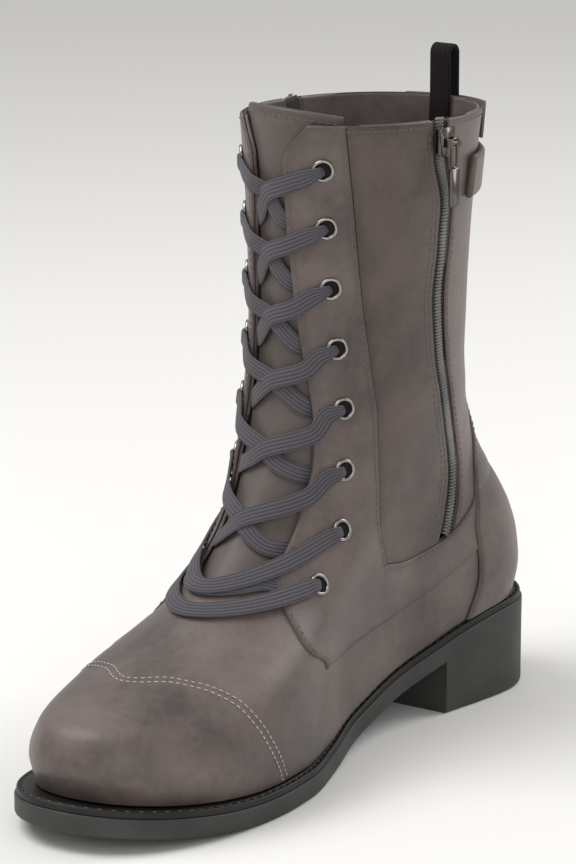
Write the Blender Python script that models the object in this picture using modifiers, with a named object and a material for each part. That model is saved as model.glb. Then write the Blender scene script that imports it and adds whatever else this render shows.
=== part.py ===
"""Lace-up boot for the right foot: hollow leather upper with side zips, moulded sole and block heel.

Metres, +Z up, +X towards the toe, +Y towards the medial (inner) side.
The origin is the middle of the heel's tread, on the ground.
The upper is one closed surface function of an angle round the foot and a height share.
Seams, openings and overlays all follow guide lines drawn on that surface.
"""
from functools import lru_cache
from math import cos, pi, radians, sin

import bmesh
import bpy
from mathutils import Matrix, Vector

MM = 0.001

# Sole sizes
LENGTH = 281 * MM
BALL_WIDTH = 95 * MM
HEEL_HEIGHT = 27.5 * MM
OUTSOLE_THICK = 7.6 * MM
WELT_THICK = 2.2 * MM
TOE_SPRING = 7.5 * MM
EDGE_ROUND = 1.2 * MM
WELT_SETBACK = 0.8 * MM
WELT_WIDTH = 13 * MM
INSOLE_THICK = 3.0 * MM

# Upper sizes
TOE_HEIGHT = 51 * MM
INSTEP_HEIGHT = 114 * MM
COLLAR_HEIGHT = 238.5 * MM
COUNTER_HEIGHT = 90 * MM
WALL = 2.0 * MM
STEP = 1.1 * MM
TONGUE_THICK = 2.4 * MM
TONGUE_RISE = 5 * MM
OVERLAY_THICK = 1.2 * MM

# Fittings
EYELET_FLANGE = 8.9 * MM
EYELET_BORE = 4.6 * MM
EYELET_METAL = 0.5 * MM
FLANGE_THICK = 0.9 * MM
FLANGE_BEVEL = 0.7 * MM
FLANGE_DISH = 0.2 * MM
LACE_WIDTH = 6.8 * MM
LACE_THICK = 1.1 * MM
TUCK_SETBACK = 4.2 * MM
BAR_SAG = 2.9 * MM
CHAIN_WIDTH = 4.6 * MM
CHAIN_PROUD = 0.4 * MM
TAPE_THICK = 0.9 * MM
SLOT_AHEAD = 3.9 * MM
SLOT_BEHIND = 5.2 * MM
SLIDER_LENGTH = 11 * MM
SLIDER_WIDTH = 8.6 * MM
SLIDER_THICK = 2.6 * MM
SLIDER_BEVEL = 0.6 * MM
PIN_RADIUS = 0.8 * MM
PIN_HEIGHT = 2.7 * MM
EAR_GAP = 3.8 * MM
EAR_THICK = 1.3 * MM
EAR_HEIGHT = 3.2 * MM
EAR_CROWN = 1.2 * MM
PULL_WIDTH = 4.4 * MM
PULL_THICK = 1.5 * MM
PULL_EYE_WALL = 1.1 * MM
PULL_CORNER = 1.0 * MM
MEDIAL_PULL_LENGTH = 24 * MM
LATERAL_PULL_LENGTH = 34 * MM
STRAP_THICK = 2.8 * MM
LOOP_WIDTH = 9 * MM
LOOP_RISE = 15 * MM
LOOP_THICK = 1.3 * MM

# Clearances
GAP = 0.3 * MM
SEAT_GAP = 0.6 * MM
LACE_GAP = 0.5 * MM
PIN_GAP = 0.35 * MM
SLOT_GAP = 0.8 * MM
CROSS_GAP = 0.3 * MM
CHAIN_GAP = 1.0 * MM

# Sizes that follow from those above
BARREL = EYELET_BORE + 2 * EYELET_METAL
OVER_FACING = STEP + LACE_GAP + LACE_THICK / 2
ON_TONGUE = -(WALL + GAP) + LACE_GAP + LACE_THICK / 2
ON_VAMP = LACE_GAP + LACE_THICK / 2
SLIDER_FOOT = CHAIN_PROUD + CHAIN_GAP
PIN_AT = SLIDER_FOOT + SLIDER_THICK + PIN_HEIGHT

# Where the origin lies along the sole, as a share of the length from the back
HEEL_CENTRE = 0.13
HEEL_BREAST = 0.262
FOREFOOT_FLAT = (0.60, 0.74)
SHANK_SPAN = 0.52

# Half-widths of the sole before its ends are rounded, as shares of the ball width
SOLE_SIDES = (
    # along, medial, lateral
    (0.00, 0.350, 0.350),
    (0.12, 0.350, 0.350),
    (0.25, 0.312, 0.335),
    (0.36, 0.272, 0.325),
    (0.45, 0.292, 0.345),
    (0.55, 0.380, 0.390),
    (0.65, 0.475, 0.445),
    (0.73, 0.500, 0.455),
    (0.82, 0.500, 0.440),
    (1.00, 0.490, 0.420),
)
HEEL_END = 0.115
TOE_END = 0.255
TOE_POWER = 2.15

# Sections of the upper from the welt up to the collar.
# front and back are shares of the length; rise is a level on the height marks below;
# medial and lateral are shares of the ball width; the ends are shares of the section's own length.
SECTIONS = (
    # front, front_rise, back, back_rise, medial, lateral, toe_end, heel_end, toe_power, plain, follow
    (0.962, 0.00, 0.026, 0.00, 0.460, 0.418, 0.265, 0.115, 2.15, 0.00, 1.00),
    (0.976, 0.35, 0.014, 0.26, 0.478, 0.432, 0.275, 0.120, 2.15, 0.00, 0.85),
    (0.960, 0.62, 0.018, 0.47, 0.472, 0.420, 0.290, 0.130, 2.10, 0.05, 0.70),
    (0.914, 0.83, 0.030, 0.67, 0.452, 0.388, 0.320, 0.150, 2.00, 0.15, 0.55),
    (0.835, 1.00, 0.048, 0.85, 0.422, 0.350, 0.360, 0.180, 1.90, 0.30, 0.40),
    (0.757, 1.12, 0.066, 1.00, 0.392, 0.320, 0.400, 0.240, 1.80, 0.45, 0.27),
    (0.688, 1.29, 0.085, 1.06, 0.370, 0.305, 0.440, 0.300, 1.75, 0.60, 0.15),
    (0.628, 1.49, 0.100, 1.12, 0.352, 0.305, 0.480, 0.360, 1.75, 0.75, 0.07),
    (0.576, 1.75, 0.112, 1.19, 0.342, 0.315, 0.500, 0.420, 1.80, 0.90, 0.00),
    (0.541, 2.00, 0.120, 1.27, 0.339, 0.328, 0.500, 0.480, 1.95, 1.00, 0.00),
    (0.513, 2.18, 0.125, 1.37, 0.338, 0.336, 0.500, 0.500, 2.10, 1.00, 0.00),
    (0.500, 2.41, 0.124, 1.54, 0.344, 0.342, 0.500, 0.500, 2.10, 1.00, 0.00),
    (0.497, 2.70, 0.118, 1.76, 0.366, 0.366, 0.500, 0.500, 2.10, 1.00, 0.00),
    (0.502, 3.00, 0.110, 1.97, 0.402, 0.402, 0.500, 0.500, 2.10, 1.00, 0.00),
)

# Guide lines that run up the upper, as shares of the way from the throat's centre to the back seam
UPRIGHTS = (
    # height, facing edge, eyestay seam, zip line, counter edge
    (0.000, 0.440, 0.560, 0.650, 0.715),
    (0.100, 0.440, 0.560, 0.650, 0.726),
    (0.187, 0.434, 0.555, 0.650, 0.722),
    (0.284, 0.358, 0.545, 0.655, 0.715),
    (0.383, 0.290, 0.510, 0.656, 0.722),
    (0.456, 0.234, 0.475, 0.656, 0.745),
    (0.505, 0.208, 0.450, 0.655, 0.780),
    (0.560, 0.213, 0.425, 0.645, 0.830),
    (0.645, 0.200, 0.380, 0.612, 0.895),
    (0.720, 0.165, 0.345, 0.580, 0.930),
    (0.785, 0.129, 0.318, 0.550, 0.932),
    (0.845, 0.103, 0.300, 0.537, 0.932),
    (0.890, 0.090, 0.287, 0.548, 0.932),
    (0.920, 0.078, 0.275, 0.548, 0.932),
    (0.970, 0.068, 0.252, 0.505, 0.932),
    (1.000, 0.140, 0.239, 0.492, 0.932),
)

# Guide lines that run round the upper, as height shares, against the share from throat to back seam
LEVELS = (
    # round, quarter's lower seam, throat foot and panel's lower edge
    (0.000, 0.187, 0.500),
    (0.210, 0.187, 0.500),
    (0.350, 0.187, 0.440),
    (0.434, 0.187, 0.395),
    (0.535, 0.158, 0.332),
    (0.600, 0.140, 0.285),
    (0.650, 0.146, 0.280),
    (0.690, 0.163, 0.320),
    (0.730, 0.182, 0.375),
    (1.000, 0.182, 0.380),
)

# Eyelets from the collar down, on the medial side; the lateral side mirrors them about the throat
EYELETS = (
    # height, round
    (0.966, 0.184),
    (0.921, 0.196),
    (0.874, 0.208),
    (0.820, 0.218),
    (0.753, 0.236),
    (0.656, 0.283),
    (0.538, 0.340),
    (0.433, 0.334),
)

# The throat's centre line turns towards the lateral side near the collar
THROAT_TURN = -0.06
TURN_START = 0.72
TURN_SPAN = 0.20

# Columns of the upper's grid in each strip, from the throat's centre to the back seam
STRIPS = (
    # strip, columns
    ("vamp", 5),
    ("facing", 3),
    ("panel", 3),
    ("zip", 1),
    ("rear", 2),
    ("counter", 3),
)
LOWER_ROWS = 5
BAND_ROWS = 4
SHAFT_SHARES = (0.0, 0.09, 0.18, 0.27, 0.36, 0.45, 0.54, 0.63, 0.72, 0.81, 0.90, 0.965, 1.0)

# Bands across the back at the top of the shaft, as height shares and shares from throat to back
BACK_STRAP_FOOT = 0.925
BACK_STRAP_TOP = 0.962
BACK_STRAP_REACH = 0.64
BACK_TAB_REACH = 0.86
MEDIAL_SLIDER_AT = 0.982
LATERAL_SLIDER_AT = 0.945

COLOURS = {
    # material: sRGB colour, metallic, roughness
    "taupe leather": ((0.42, 0.38, 0.36), 0.0, 0.5),
    "tongue leather": ((0.36, 0.33, 0.31), 0.0, 0.6),
    "moulded sole": ((0.16, 0.16, 0.15), 0.0, 0.6),
    "welt strip": ((0.08, 0.08, 0.08), 0.0, 0.7),
    "insole board": ((0.25, 0.22, 0.20), 0.0, 0.9),
    "nickel": ((0.62, 0.62, 0.60), 1.0, 0.3),
    "flat lace": ((0.36, 0.35, 0.38), 0.0, 0.9),
    "zip tape": ((0.40, 0.40, 0.42), 0.0, 0.8),
    "webbing": ((0.06, 0.05, 0.05), 0.0, 0.9),
}


# Curves through tables

def table_curve(table, column, at):
    """Monotone cubic through one column of a table whose first column is the position."""
    xs = [row[0] for row in table]
    ys = [row[column] for row in table]
    return monotone(tuple(xs), tuple(ys), at)


@lru_cache(maxsize=None)
def slopes(xs, ys):
    steps = [(ys[k + 1] - ys[k]) / (xs[k + 1] - xs[k]) for k in range(len(xs) - 1)]
    inner = []
    for before, after in zip(steps, steps[1:]):
        flat = before * after <= 0
        inner.append(0.0 if flat else 2 * before * after / (before + after))
    return [steps[0]] + inner + [steps[-1]]


def monotone(xs, ys, at):
    tangent = slopes(xs, ys)
    at = min(max(at, xs[0]), xs[-1])
    k = 0
    while k < len(xs) - 2 and at > xs[k + 1]:
        k += 1
    span = xs[k + 1] - xs[k]
    u = (at - xs[k]) / span
    rise = 3 * u * u - 2 * u ** 3
    lead = (u ** 3 - 2 * u * u + u) * span * tangent[k]
    trail = (u ** 3 - u * u) * span * tangent[k + 1]
    return ys[k] * (1 - rise) + ys[k + 1] * rise + lead + trail


def ease(u):
    u = min(max(u, 0.0), 1.0)
    return u * u * (3 - 2 * u)


def round_end(u, power):
    u = min(max(u, 0.0), 1.0)
    return (1 - u ** power) ** (1 / power)


# Sole lines, against the share of the length

def sole_bottom(share):
    flat_from, flat_to = FOREFOOT_FLAT
    shank = ease((flat_from - share) / SHANK_SPAN)
    spring = max(0.0, (share - flat_to) / (1 - flat_to)) ** 1.6
    return HEEL_HEIGHT * shank + TOE_SPRING * spring


def sole_top(share):
    return sole_bottom(share) + OUTSOLE_THICK


def welt_foot(share):
    return sole_top(share) + GAP


def welt_top(share):
    return welt_foot(share) + WELT_THICK


def feather(share):
    """Height of the upper's lower edge, just above the welt."""
    return welt_top(share) + SEAT_GAP


def half_width(share, side):
    """Half-width of the sole before its ends are rounded; side is +1 medial, -1 lateral."""
    return table_curve(SOLE_SIDES, 1 if side > 0 else 2, share) * BALL_WIDTH


def length_share(x):
    return x / LENGTH + HEEL_CENTRE


def place_x(share):
    return (share - HEEL_CENTRE) * LENGTH


def outline_point(angle):
    """Sole outline at an angle: 0 at the toe, pi at the heel, positive on the medial side."""
    share = (1 + cos(angle)) / 2
    side = 1 if angle >= 0 else -1
    toe = round_end((share - 1 + TOE_END) / TOE_END, TOE_POWER)
    heel = round_end((HEEL_END - share) / HEEL_END, 2.0)
    return Vector((place_x(share), side * half_width(share, side) * toe * heel, 0.0))


def outline(angle, inset):
    """Outline point moved inwards at right angles to the outline."""
    small = 0.004
    ahead = outline_point(wrap_angle(angle + small))
    behind = outline_point(wrap_angle(angle - small))
    run = ahead - behind
    outward = Vector((run.y, -run.x, 0.0)).normalized()
    return outline_point(angle) - outward * inset


def wrap_angle(angle):
    return (angle + pi) % (2 * pi) - pi


# Surface of the upper

def height_mark(level, marks):
    """Height at a level: 0 is the first mark, 1 the second, and straight between them."""
    k = min(int(level), len(marks) - 2)
    return marks[k] + (level - k) * (marks[k + 1] - marks[k])


@lru_cache(maxsize=None)
def section(height):
    """Section of the upper at a height share, read smoothly from the table."""
    places = tuple(k / (len(SECTIONS) - 1) for k in range(len(SECTIONS)))
    return [monotone(places, tuple(row[c] for row in SECTIONS), height) for c in range(11)]


@lru_cache(maxsize=None)
def widest(side):
    return max(half_width(row[0], side) for row in SOLE_SIDES)


def throat_turn(height):
    return THROAT_TURN * ease((height - TURN_START) / TURN_SPAN)


def last(around, height):
    """Outer face of the upper without overlays.

    around is 0 at the throat's centre, +1 and -1 at the back seam, positive on the medial side.
    height is 0 at the welt and 1 at the collar; above 1 the surface goes straight up.
    """
    above = max(0.0, height - 1.0) * COLLAR_HEIGHT
    height = min(height, 1.0)
    around = (around + 1) % 2 - 1
    turned = around + throat_turn(height) * (1 - abs(around))
    front, front_rise, back, back_rise, medial, lateral = section(height)[:6]
    toe_end, heel_end, power, plain, follow = section(height)[6:]
    side = 1 if turned >= 0 else -1
    along = (1 + cos(turned * pi)) / 2
    share = back + (front - back) * along
    spread = half_width(share, side) / widest(side)
    spread += (1 - spread) * plain
    reach = (medial if side > 0 else lateral) * BALL_WIDTH
    toe = round_end((along - 1 + toe_end) / toe_end, power)
    heel = round_end((heel_end - along) / heel_end, 2.0)
    front_foot = feather(SECTIONS[0][0])
    back_foot = feather(SECTIONS[0][2])
    front_z = height_mark(front_rise, (front_foot, TOE_HEIGHT, INSTEP_HEIGHT, COLLAR_HEIGHT))
    back_z = height_mark(back_rise, (back_foot, COUNTER_HEIGHT, COLLAR_HEIGHT))
    straight = feather(back) + (feather(front) - feather(back)) * along
    bend = feather(share) - straight
    z = back_z + (front_z - back_z) * along + bend * follow
    if height == 0.0:
        z = feather(share)
    return Vector((place_x(share), side * reach * spread * toe * heel, z + above))


@lru_cache(maxsize=None)
def outward(around, height):
    """Unit normal of the upper's outer face, level at the welt."""
    step = 0.004
    low = max(height - step, 0.0)
    high = min(height + step, 1.0)
    up = last(around, high) - last(around, low)
    back = last(around + step, min(height, 1.0)) - last(around - step, min(height, 1.0))
    normal = back.cross(up)
    if height == 0.0:
        normal.z = 0.0
    normal.normalize()
    inside = last(0.0, min(height, 1.0)).lerp(last(1.0, min(height, 1.0)), 0.5)
    if normal.dot(last(around, min(height, 1.0)) - inside) < 0:
        normal.negate()
    return normal


def skin(around, height, offset):
    """Point at a distance outside the upper's outer face."""
    return last(around, height) + outward(around, height) * offset


def per_metre(around, height):
    """Share round the upper that one metre of leather takes at this place."""
    step = 0.01
    return 2 * step / (last(around + step, height) - last(around - step, height)).length


# Grid of the upper

HALF = sum(columns for _, columns in STRIPS)
ROWS = LOWER_ROWS + BAND_ROWS + len(SHAFT_SHARES) - 1
BAND_FOOT = LOWER_ROWS
SHAFT_FOOT = LOWER_ROWS + BAND_ROWS


def strip_of(column):
    """Name of the strip that a half column lies in."""
    for name, columns in STRIPS:
        if column < columns:
            return name
        column -= columns
    return "counter"


def strip_start(name):
    start = 0
    for strip, columns in STRIPS:
        if strip == name:
            return start
        start += columns
    return start


def strip_lines(height):
    """The guide lines between strips at a height, from throat centre to back seam."""
    edge, eyestay, zip_line, counter = (table_curve(UPRIGHTS, c, height) for c in (1, 2, 3, 4))
    pace = per_metre(zip_line, max(height, 0.05))
    ahead = zip_line - SLOT_AHEAD * pace
    behind = zip_line + SLOT_BEHIND * pace
    return [0.0, edge, eyestay, ahead, behind, max(counter, behind + 0.02), 1.0]


@lru_cache(maxsize=None)
def column_share(column, height):
    lines = strip_lines(height)
    for k, (_, columns) in enumerate(STRIPS):
        if column <= columns:
            return lines[k] + (lines[k + 1] - lines[k]) * column / columns
        column -= columns
    return 1.0


def row_height(row, around):
    quarter = table_curve(LEVELS, 1, abs(around))
    panel = table_curve(LEVELS, 2, abs(around))
    if row <= BAND_FOOT:
        return quarter * row / LOWER_ROWS
    if row <= SHAFT_FOOT:
        return quarter + (panel - quarter) * (row - BAND_FOOT) / BAND_ROWS
    if row > ROWS:
        return 1.0 + TONGUE_RISE / COLLAR_HEIGHT
    return panel + (1 - panel) * SHAFT_SHARES[row - SHAFT_FOOT]


@lru_cache(maxsize=None)
def grid_share(column, row):
    """Round and height shares of a grid corner; columns count from the throat's centre, both ways."""
    half = abs(column)
    height = row / ROWS
    for _ in range(12):
        around = column_share(half, round(min(height, 1.0), 6))
        height = row_height(row, around)
    return around if column >= 0 else -around, height


def grid_place(column, row, offset):
    around, height = grid_share(column, row)
    return skin(around, height, offset)


def signed(column):
    """Column counted from the throat's centre, -HALF to HALF."""
    return (column + HALF) % (2 * HALF) - HALF


def cell_half(column):
    """Half column of a cell, the same on both sides of the throat."""
    column = signed(column)
    return column if column >= 0 else -column - 1


# Meshes

def mesh_object(name, points, faces, material, parent=None):
    mesh = bpy.data.meshes.new(name)
    mesh.from_pydata([tuple(p) for p in points], [], faces)
    body = bmesh.new()
    body.from_mesh(mesh)
    bmesh.ops.recalc_face_normals(body, faces=body.faces)
    body.to_mesh(mesh)
    body.free()
    return mesh_node(name, mesh, material, parent)


def mesh_node(name, mesh, material, parent=None):
    thing = bpy.data.objects.new(name, mesh)
    parts.objects.link(thing)
    mesh.materials.clear()
    mesh.materials.append(materials[material])
    thing.parent = parent
    return thing


def walled(name, cells, outer, inner, place, material):
    """A wall from grid cells, whose outer face may step between cells.

    cells is a set of (column, row); outer and inner give a cell's two offsets;
    place gives the point of a corner at an offset. Open edges and steps are closed by sides.
    """
    whole = 2 * HALF
    corners_of = {}
    used = {}
    for column, row in cells:
        corners = [(column, row), (column + 1, row), (column + 1, row + 1), (column, row + 1)]
        corners = [(c % whole, r) for c, r in corners]
        corners_of[column % whole, row] = corners
        for corner in corners:
            used.setdefault(corner, set()).update((outer(column, row), inner(column, row)))
    points = []
    index = {}

    def point(corner, offset):
        key = (corner, offset)
        if key not in index:
            index[key] = len(points)
            points.append(place(signed(corner[0]), corner[1], offset))
        return index[key]

    def climb(corner, low, high):
        return [point(corner, level) for level in sorted(used[corner]) if low <= level <= high]

    faces = []

    def side_wall(a, b, low, high):
        down = climb(a, low, high)[::-1]
        up = climb(b, low, high)
        for first, second in zip(down, down[1:]):
            faces.append((up[-1], first, second))
        for first, second in zip(up, up[1:]):
            faces.append((down[-1], first, second))

    beyond = ((0, -1), (1, 0), (0, 1), (-1, 0))
    for (column, row), corners in corners_of.items():
        high = outer(column, row)
        low = inner(column, row)
        a, b, c, d = (point(corner, high) for corner in corners)
        faces.extend(((a, b, c), (a, c, d)))
        a, b, c, d = (point(corner, low) for corner in corners)
        faces.extend(((c, b, a), (d, c, a)))
        for k, (dc, dr) in enumerate(beyond):
            start = corners[k]
            end = corners[(k + 1) % 4]
            other = ((column + dc) % whole, row + dr)
            if other not in corners_of:
                side_wall(start, end, low, high)
                continue
            other_high = outer(*other)
            if other_high < high:
                side_wall(start, end, other_high, high)
    return mesh_object(name, points, faces, material)


def swept(name, sections, material, parent=None):
    """A closed tube through sections of equal count, flat at both ends."""
    points = [p for ring in sections for p in ring]
    count = len(sections[0])
    faces = []
    for k in range(len(sections) - 1):
        for i in range(count):
            j = (i + 1) % count
            a, b = k * count + i, k * count + j
            faces.append((a, b, b + count, a + count))
    faces.append(tuple(range(count))[::-1])
    faces.append(tuple(range(len(points) - count, len(points))))
    return mesh_object(name, points, faces, material, parent)


def plate(name, angles, rings, material):
    """A solid under the foot: rings of outline points from bottom to top, closed by rungs across.

    Each ring is a function of an angle. angles run from the toe end to the heel end on one side.
    """
    around = angles + [-a for a in reversed(angles)]
    count = len(around)
    points = [ring(angle) for ring in rings for angle in around]
    faces = []
    for k in range(len(rings) - 1):
        for i in range(count):
            j = (i + 1) % count
            a, b = k * count + i, k * count + j
            faces.append((a, b, b + count, a + count))
    top = (len(rings) - 1) * count
    for base in (0, top):
        for i in range(len(angles) - 1):
            faces.append((base + i, base + i + 1, base + count - 2 - i, base + count - 1 - i))
    return mesh_object(name, points, faces, material)


def unite(first, second, name):
    """Boolean union of two nodes into the first, which takes the name."""
    joiner = first.modifiers.new("join", "BOOLEAN")
    joiner.operation = "UNION"
    joiner.object = second
    bpy.context.view_layer.update()
    mesh = bpy.data.meshes.new_from_object(first.evaluated_get(bpy.context.evaluated_depsgraph_get()))
    first.modifiers.clear()
    first.data = mesh
    bpy.data.objects.remove(second)
    first.name = name
    return first


# Pieces of the sole

SOLE_STATIONS = 27
SOLE_ANGLES = [pi * (k + 0.5) / SOLE_STATIONS for k in range(SOLE_STATIONS)]


def sole_ring(inset, level):
    """Ring of the sole at an inset from the outline, at a height that depends on the length share."""
    def ring(angle):
        at = outline(angle, inset)
        at.z = level(length_share(at.x))
        return at
    return ring


def make_outsole():
    rings = [
        sole_ring(EDGE_ROUND, sole_bottom),
        sole_ring(0.0, lambda s: sole_bottom(s) + EDGE_ROUND),
        sole_ring(0.0, lambda s: sole_top(s) - EDGE_ROUND / 2),
        sole_ring(EDGE_ROUND / 2, sole_top),
    ]
    return plate("outsole", SOLE_ANGLES, rings, "moulded sole")


def make_heel():
    breast = [a for a in SOLE_ANGLES if (1 + cos(a)) / 2 < HEEL_BREAST]
    rings = [
        sole_ring(EDGE_ROUND, lambda s: 0.0),
        sole_ring(EDGE_ROUND / 4, lambda s: EDGE_ROUND),
        sole_ring(EDGE_ROUND / 4, lambda s: sole_bottom(s) - GAP - EDGE_ROUND / 2),
        sole_ring(EDGE_ROUND, lambda s: sole_bottom(s) - GAP),
    ]
    return plate("heel", breast, rings, "moulded sole")


def make_welt():
    """A flat strip round the sole, under the upper's edge and open in the middle."""
    angles = SOLE_ANGLES + [-a for a in reversed(SOLE_ANGLES)]
    outer_edge = WELT_SETBACK
    inner_edge = WELT_SETBACK + WELT_WIDTH
    rings = [
        sole_ring(outer_edge, welt_foot),
        sole_ring(outer_edge, welt_top),
        sole_ring(inner_edge, welt_top),
        sole_ring(inner_edge, welt_foot),
    ]
    count = len(angles)
    points = [ring(angle) for angle in angles for ring in rings]
    faces = []
    for k in range(count):
        here, there = 4 * k, 4 * ((k + 1) % count)
        for i in range(4):
            j = (i + 1) % 4
            faces.append((here + i, here + j, there + j, there + i))
    return mesh_object("welt", points, faces, "welt strip")


def make_insole():
    inset = WELT_SETBACK + WELT_WIDTH + GAP
    rings = [
        sole_ring(inset, lambda s: sole_top(s) + GAP),
        sole_ring(inset, lambda s: sole_top(s) + GAP + INSOLE_THICK),
    ]
    return plate("insole", SOLE_ANGLES, rings, "insole board")


# Pieces of the upper

def is_open(column, row):
    """The throat above the vamp, and the two zip slots."""
    strip = strip_of(cell_half(column))
    return row >= SHAFT_FOOT and strip in ("vamp", "zip")


def is_raised(column, row):
    """Facings up to the collar, and the band of the quarters below the side panels."""
    strip = strip_of(cell_half(column))
    if strip == "facing":
        return row >= BAND_FOOT
    return strip in ("panel", "zip", "rear") and BAND_FOOT <= row < SHAFT_FOOT


def make_upper():
    cells = {(c, r) for c in range(2 * HALF) for r in range(ROWS) if not is_open(c, r)}

    def outer(column, row):
        return STEP if is_raised(column, row) else 0.0

    upper = walled("upper", cells, outer, lambda c, r: -WALL, grid_place, "taupe leather")
    for k, (height, around) in enumerate(EYELETS):
        for side in (1, -1):
            bore = hole_cutter("hole_%d_%+d" % (k, side), side * around, height)
            cut = upper.modifiers.new("eyelet hole", "BOOLEAN")
            cut.operation = "DIFFERENCE"
            cut.object = bore
    return upper


def stand(around, height, offset, up=None):
    """Matrix whose Z is the upper's outward normal at a place and whose Y points up the leather."""
    normal = outward(around, height)
    rise = up or (last(around, height) - last(around, height - 0.01)).normalized()
    across = rise.cross(normal).normalized()
    rise = normal.cross(across)
    frame = Matrix((across, rise, normal)).transposed().to_4x4()
    return Matrix.Translation(skin(around, height, offset)) @ frame


def hole_cutter(name, around, height):
    mesh = bpy.data.meshes.new(name)
    body = bmesh.new()
    radius = BARREL / 2 + GAP
    depth = 4 * (WALL + STEP)
    bmesh.ops.create_cone(body, cap_ends=True, segments=10, radius1=radius, radius2=radius, depth=depth)
    body.to_mesh(mesh)
    body.free()
    cutter = bpy.data.objects.new(name, mesh)
    cutters.objects.link(cutter)
    cutter.matrix_world = stand(around, height, 0.0)
    cutter.hide_render = True
    cutter.display_type = "WIRE"
    return cutter


def make_tongue():
    reach = strip_start("panel")
    low = SHAFT_FOOT - 1
    cells = {(c, r) for c in range(-reach, reach) for r in range(low, ROWS + 1)}
    outer = -(WALL + GAP)
    inner = outer - TONGUE_THICK
    return walled("tongue", cells, lambda c, r: outer, lambda c, r: inner, grid_place, "tongue leather")


def make_backstay():
    """Counter cover at the heel that narrows into a strip up the back seam."""
    first = strip_start("counter")
    cells = {(c, r) for c in range(first, 2 * HALF - first) for r in range(ROWS)}

    def place(column, row, offset):
        around, height = grid_share(column, row)
        if abs(column) == first:
            shift = 2 * GAP * per_metre(around, min(height, 1.0))
            around += shift if around > 0 else -shift
        return skin(around, height, offset)

    outer = GAP + OVERLAY_THICK
    return walled("backstay", cells, lambda c, r: outer, lambda c, r: GAP, place, "taupe leather")


def band_over_back(name, reach, low, high, lift, thick, columns, rows, material):
    """A strap across the back seam: a patch of the upper's own surface, lifted by a function."""
    sections = []
    for k in range(columns + 1):
        around = reach + (2 - 2 * reach) * k / columns
        foot = lift(abs((around + 1) % 2 - 1))
        outer_line = []
        inner_line = []
        for r in range(rows + 1):
            height = low + (high - low) * r / rows
            outer_line.append(skin(around, height, foot + thick))
            inner_line.append(skin(around, height, foot))
        sections.append(outer_line + inner_line[::-1])
    return swept(name, sections, material)


def strap_lift(around):
    """The strap lies on the shaft at its ends and over the backstay in the middle."""
    cover = GAP + OVERLAY_THICK
    edge = table_curve(UPRIGHTS, 4, BACK_STRAP_TOP)
    climb_from, climb_span = edge - 0.12, 0.10
    return LACE_GAP + cover * ease((around - climb_from) / climb_span)


def make_back_strap():
    return band_over_back("back_strap", BACK_STRAP_REACH, BACK_STRAP_FOOT, BACK_STRAP_TOP,
                          strap_lift, STRAP_THICK, 20, 1, "taupe leather")


def loop_stack():
    """Offset of the pull loop's outer leg from the upper's outer face."""
    return GAP + OVERLAY_THICK + LACE_GAP


def make_back_tab():
    lift = loop_stack() + LOOP_THICK + LACE_GAP
    foot = BACK_STRAP_TOP + 2 * GAP / COLLAR_HEIGHT
    return band_over_back("back_tab", BACK_TAB_REACH, foot, 1.0,
                          lambda around: lift, OVERLAY_THICK, 8, 1, "taupe leather")


def make_pull_loop():
    """Webbing that leaves the shaft's inside, turns over above the collar and comes down outside."""
    back = last(1.0, 1.0)
    inside = back.x + WALL + SEAT_GAP + GAP + LOOP_THICK / 2
    outside = back.x - loop_stack() - LOOP_THICK / 2
    middle = (inside + outside) / 2
    radius = (inside - outside) / 2
    crown = COLLAR_HEIGHT + LOOP_RISE - radius
    inner_foot = last(1.0, BACK_STRAP_FOOT)
    outer_foot = last(1.0, (BACK_STRAP_TOP + 1.0) / 2)
    path = [Vector((inner_foot.x + inside - back.x, 0, inner_foot.z)), Vector((inside, 0, back.z))]
    bends = 8
    for k in range(bends + 1):
        turn = pi * k / bends
        path.append(Vector((middle + radius * cos(turn), 0, crown + radius * sin(turn))))
    path += [Vector((outside, 0, back.z)), Vector((outer_foot.x + outside - back.x, 0, outer_foot.z))]
    return ribbon("pull_loop", path, lambda k, at: Vector((0, 1, 0)), LOOP_WIDTH, LOOP_THICK, "webbing")


def ribbon(name, path, across_at, width, thick, material):
    """A flat band with square edges along a path; across_at gives its width direction."""
    sections = []
    for k, at in enumerate(path):
        ahead = path[min(k + 1, len(path) - 1)] - path[max(k - 1, 0)]
        across = across_at(k, at)
        across = (across - ahead * (across.dot(ahead) / ahead.length_squared)).normalized()
        rise = ahead.cross(across).normalized()
        w, t = across * width / 2, rise * thick / 2
        sections.append([at - w - t, at + w - t, at + w + t, at - w + t])
    return swept(name, sections, material)


# Eyelets and laces

def make_eyelet(name, around, height):
    """A turned ring: a flange on the facing and a barrel through it."""
    flange_foot = GAP
    barrel_foot = -(WALL + STEP)
    bore = EYELET_BORE / 2
    barrel = BARREL / 2
    flange = EYELET_FLANGE / 2
    top = flange_foot + FLANGE_THICK
    profile = [(bore, barrel_foot), (barrel, barrel_foot), (barrel, flange_foot),
               (flange, flange_foot), (flange - FLANGE_BEVEL, top), (bore, top - FLANGE_DISH)]
    mesh = bpy.data.meshes.new(name)
    edges = [(k, (k + 1) % len(profile)) for k in range(len(profile))]
    mesh.from_pydata([(r, 0.0, z) for r, z in profile], edges, [])
    eyelet = mesh_node(name, mesh, "nickel")
    turn = eyelet.modifiers.new("turned", "SCREW")
    turn.steps = 12
    turn.render_steps = 12
    turn.merge_threshold = 0.00001
    turn.use_merge_vertices = True
    turn.use_normal_flip = True
    eyelet.matrix_world = stand(around, height, STEP)
    return eyelet


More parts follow.
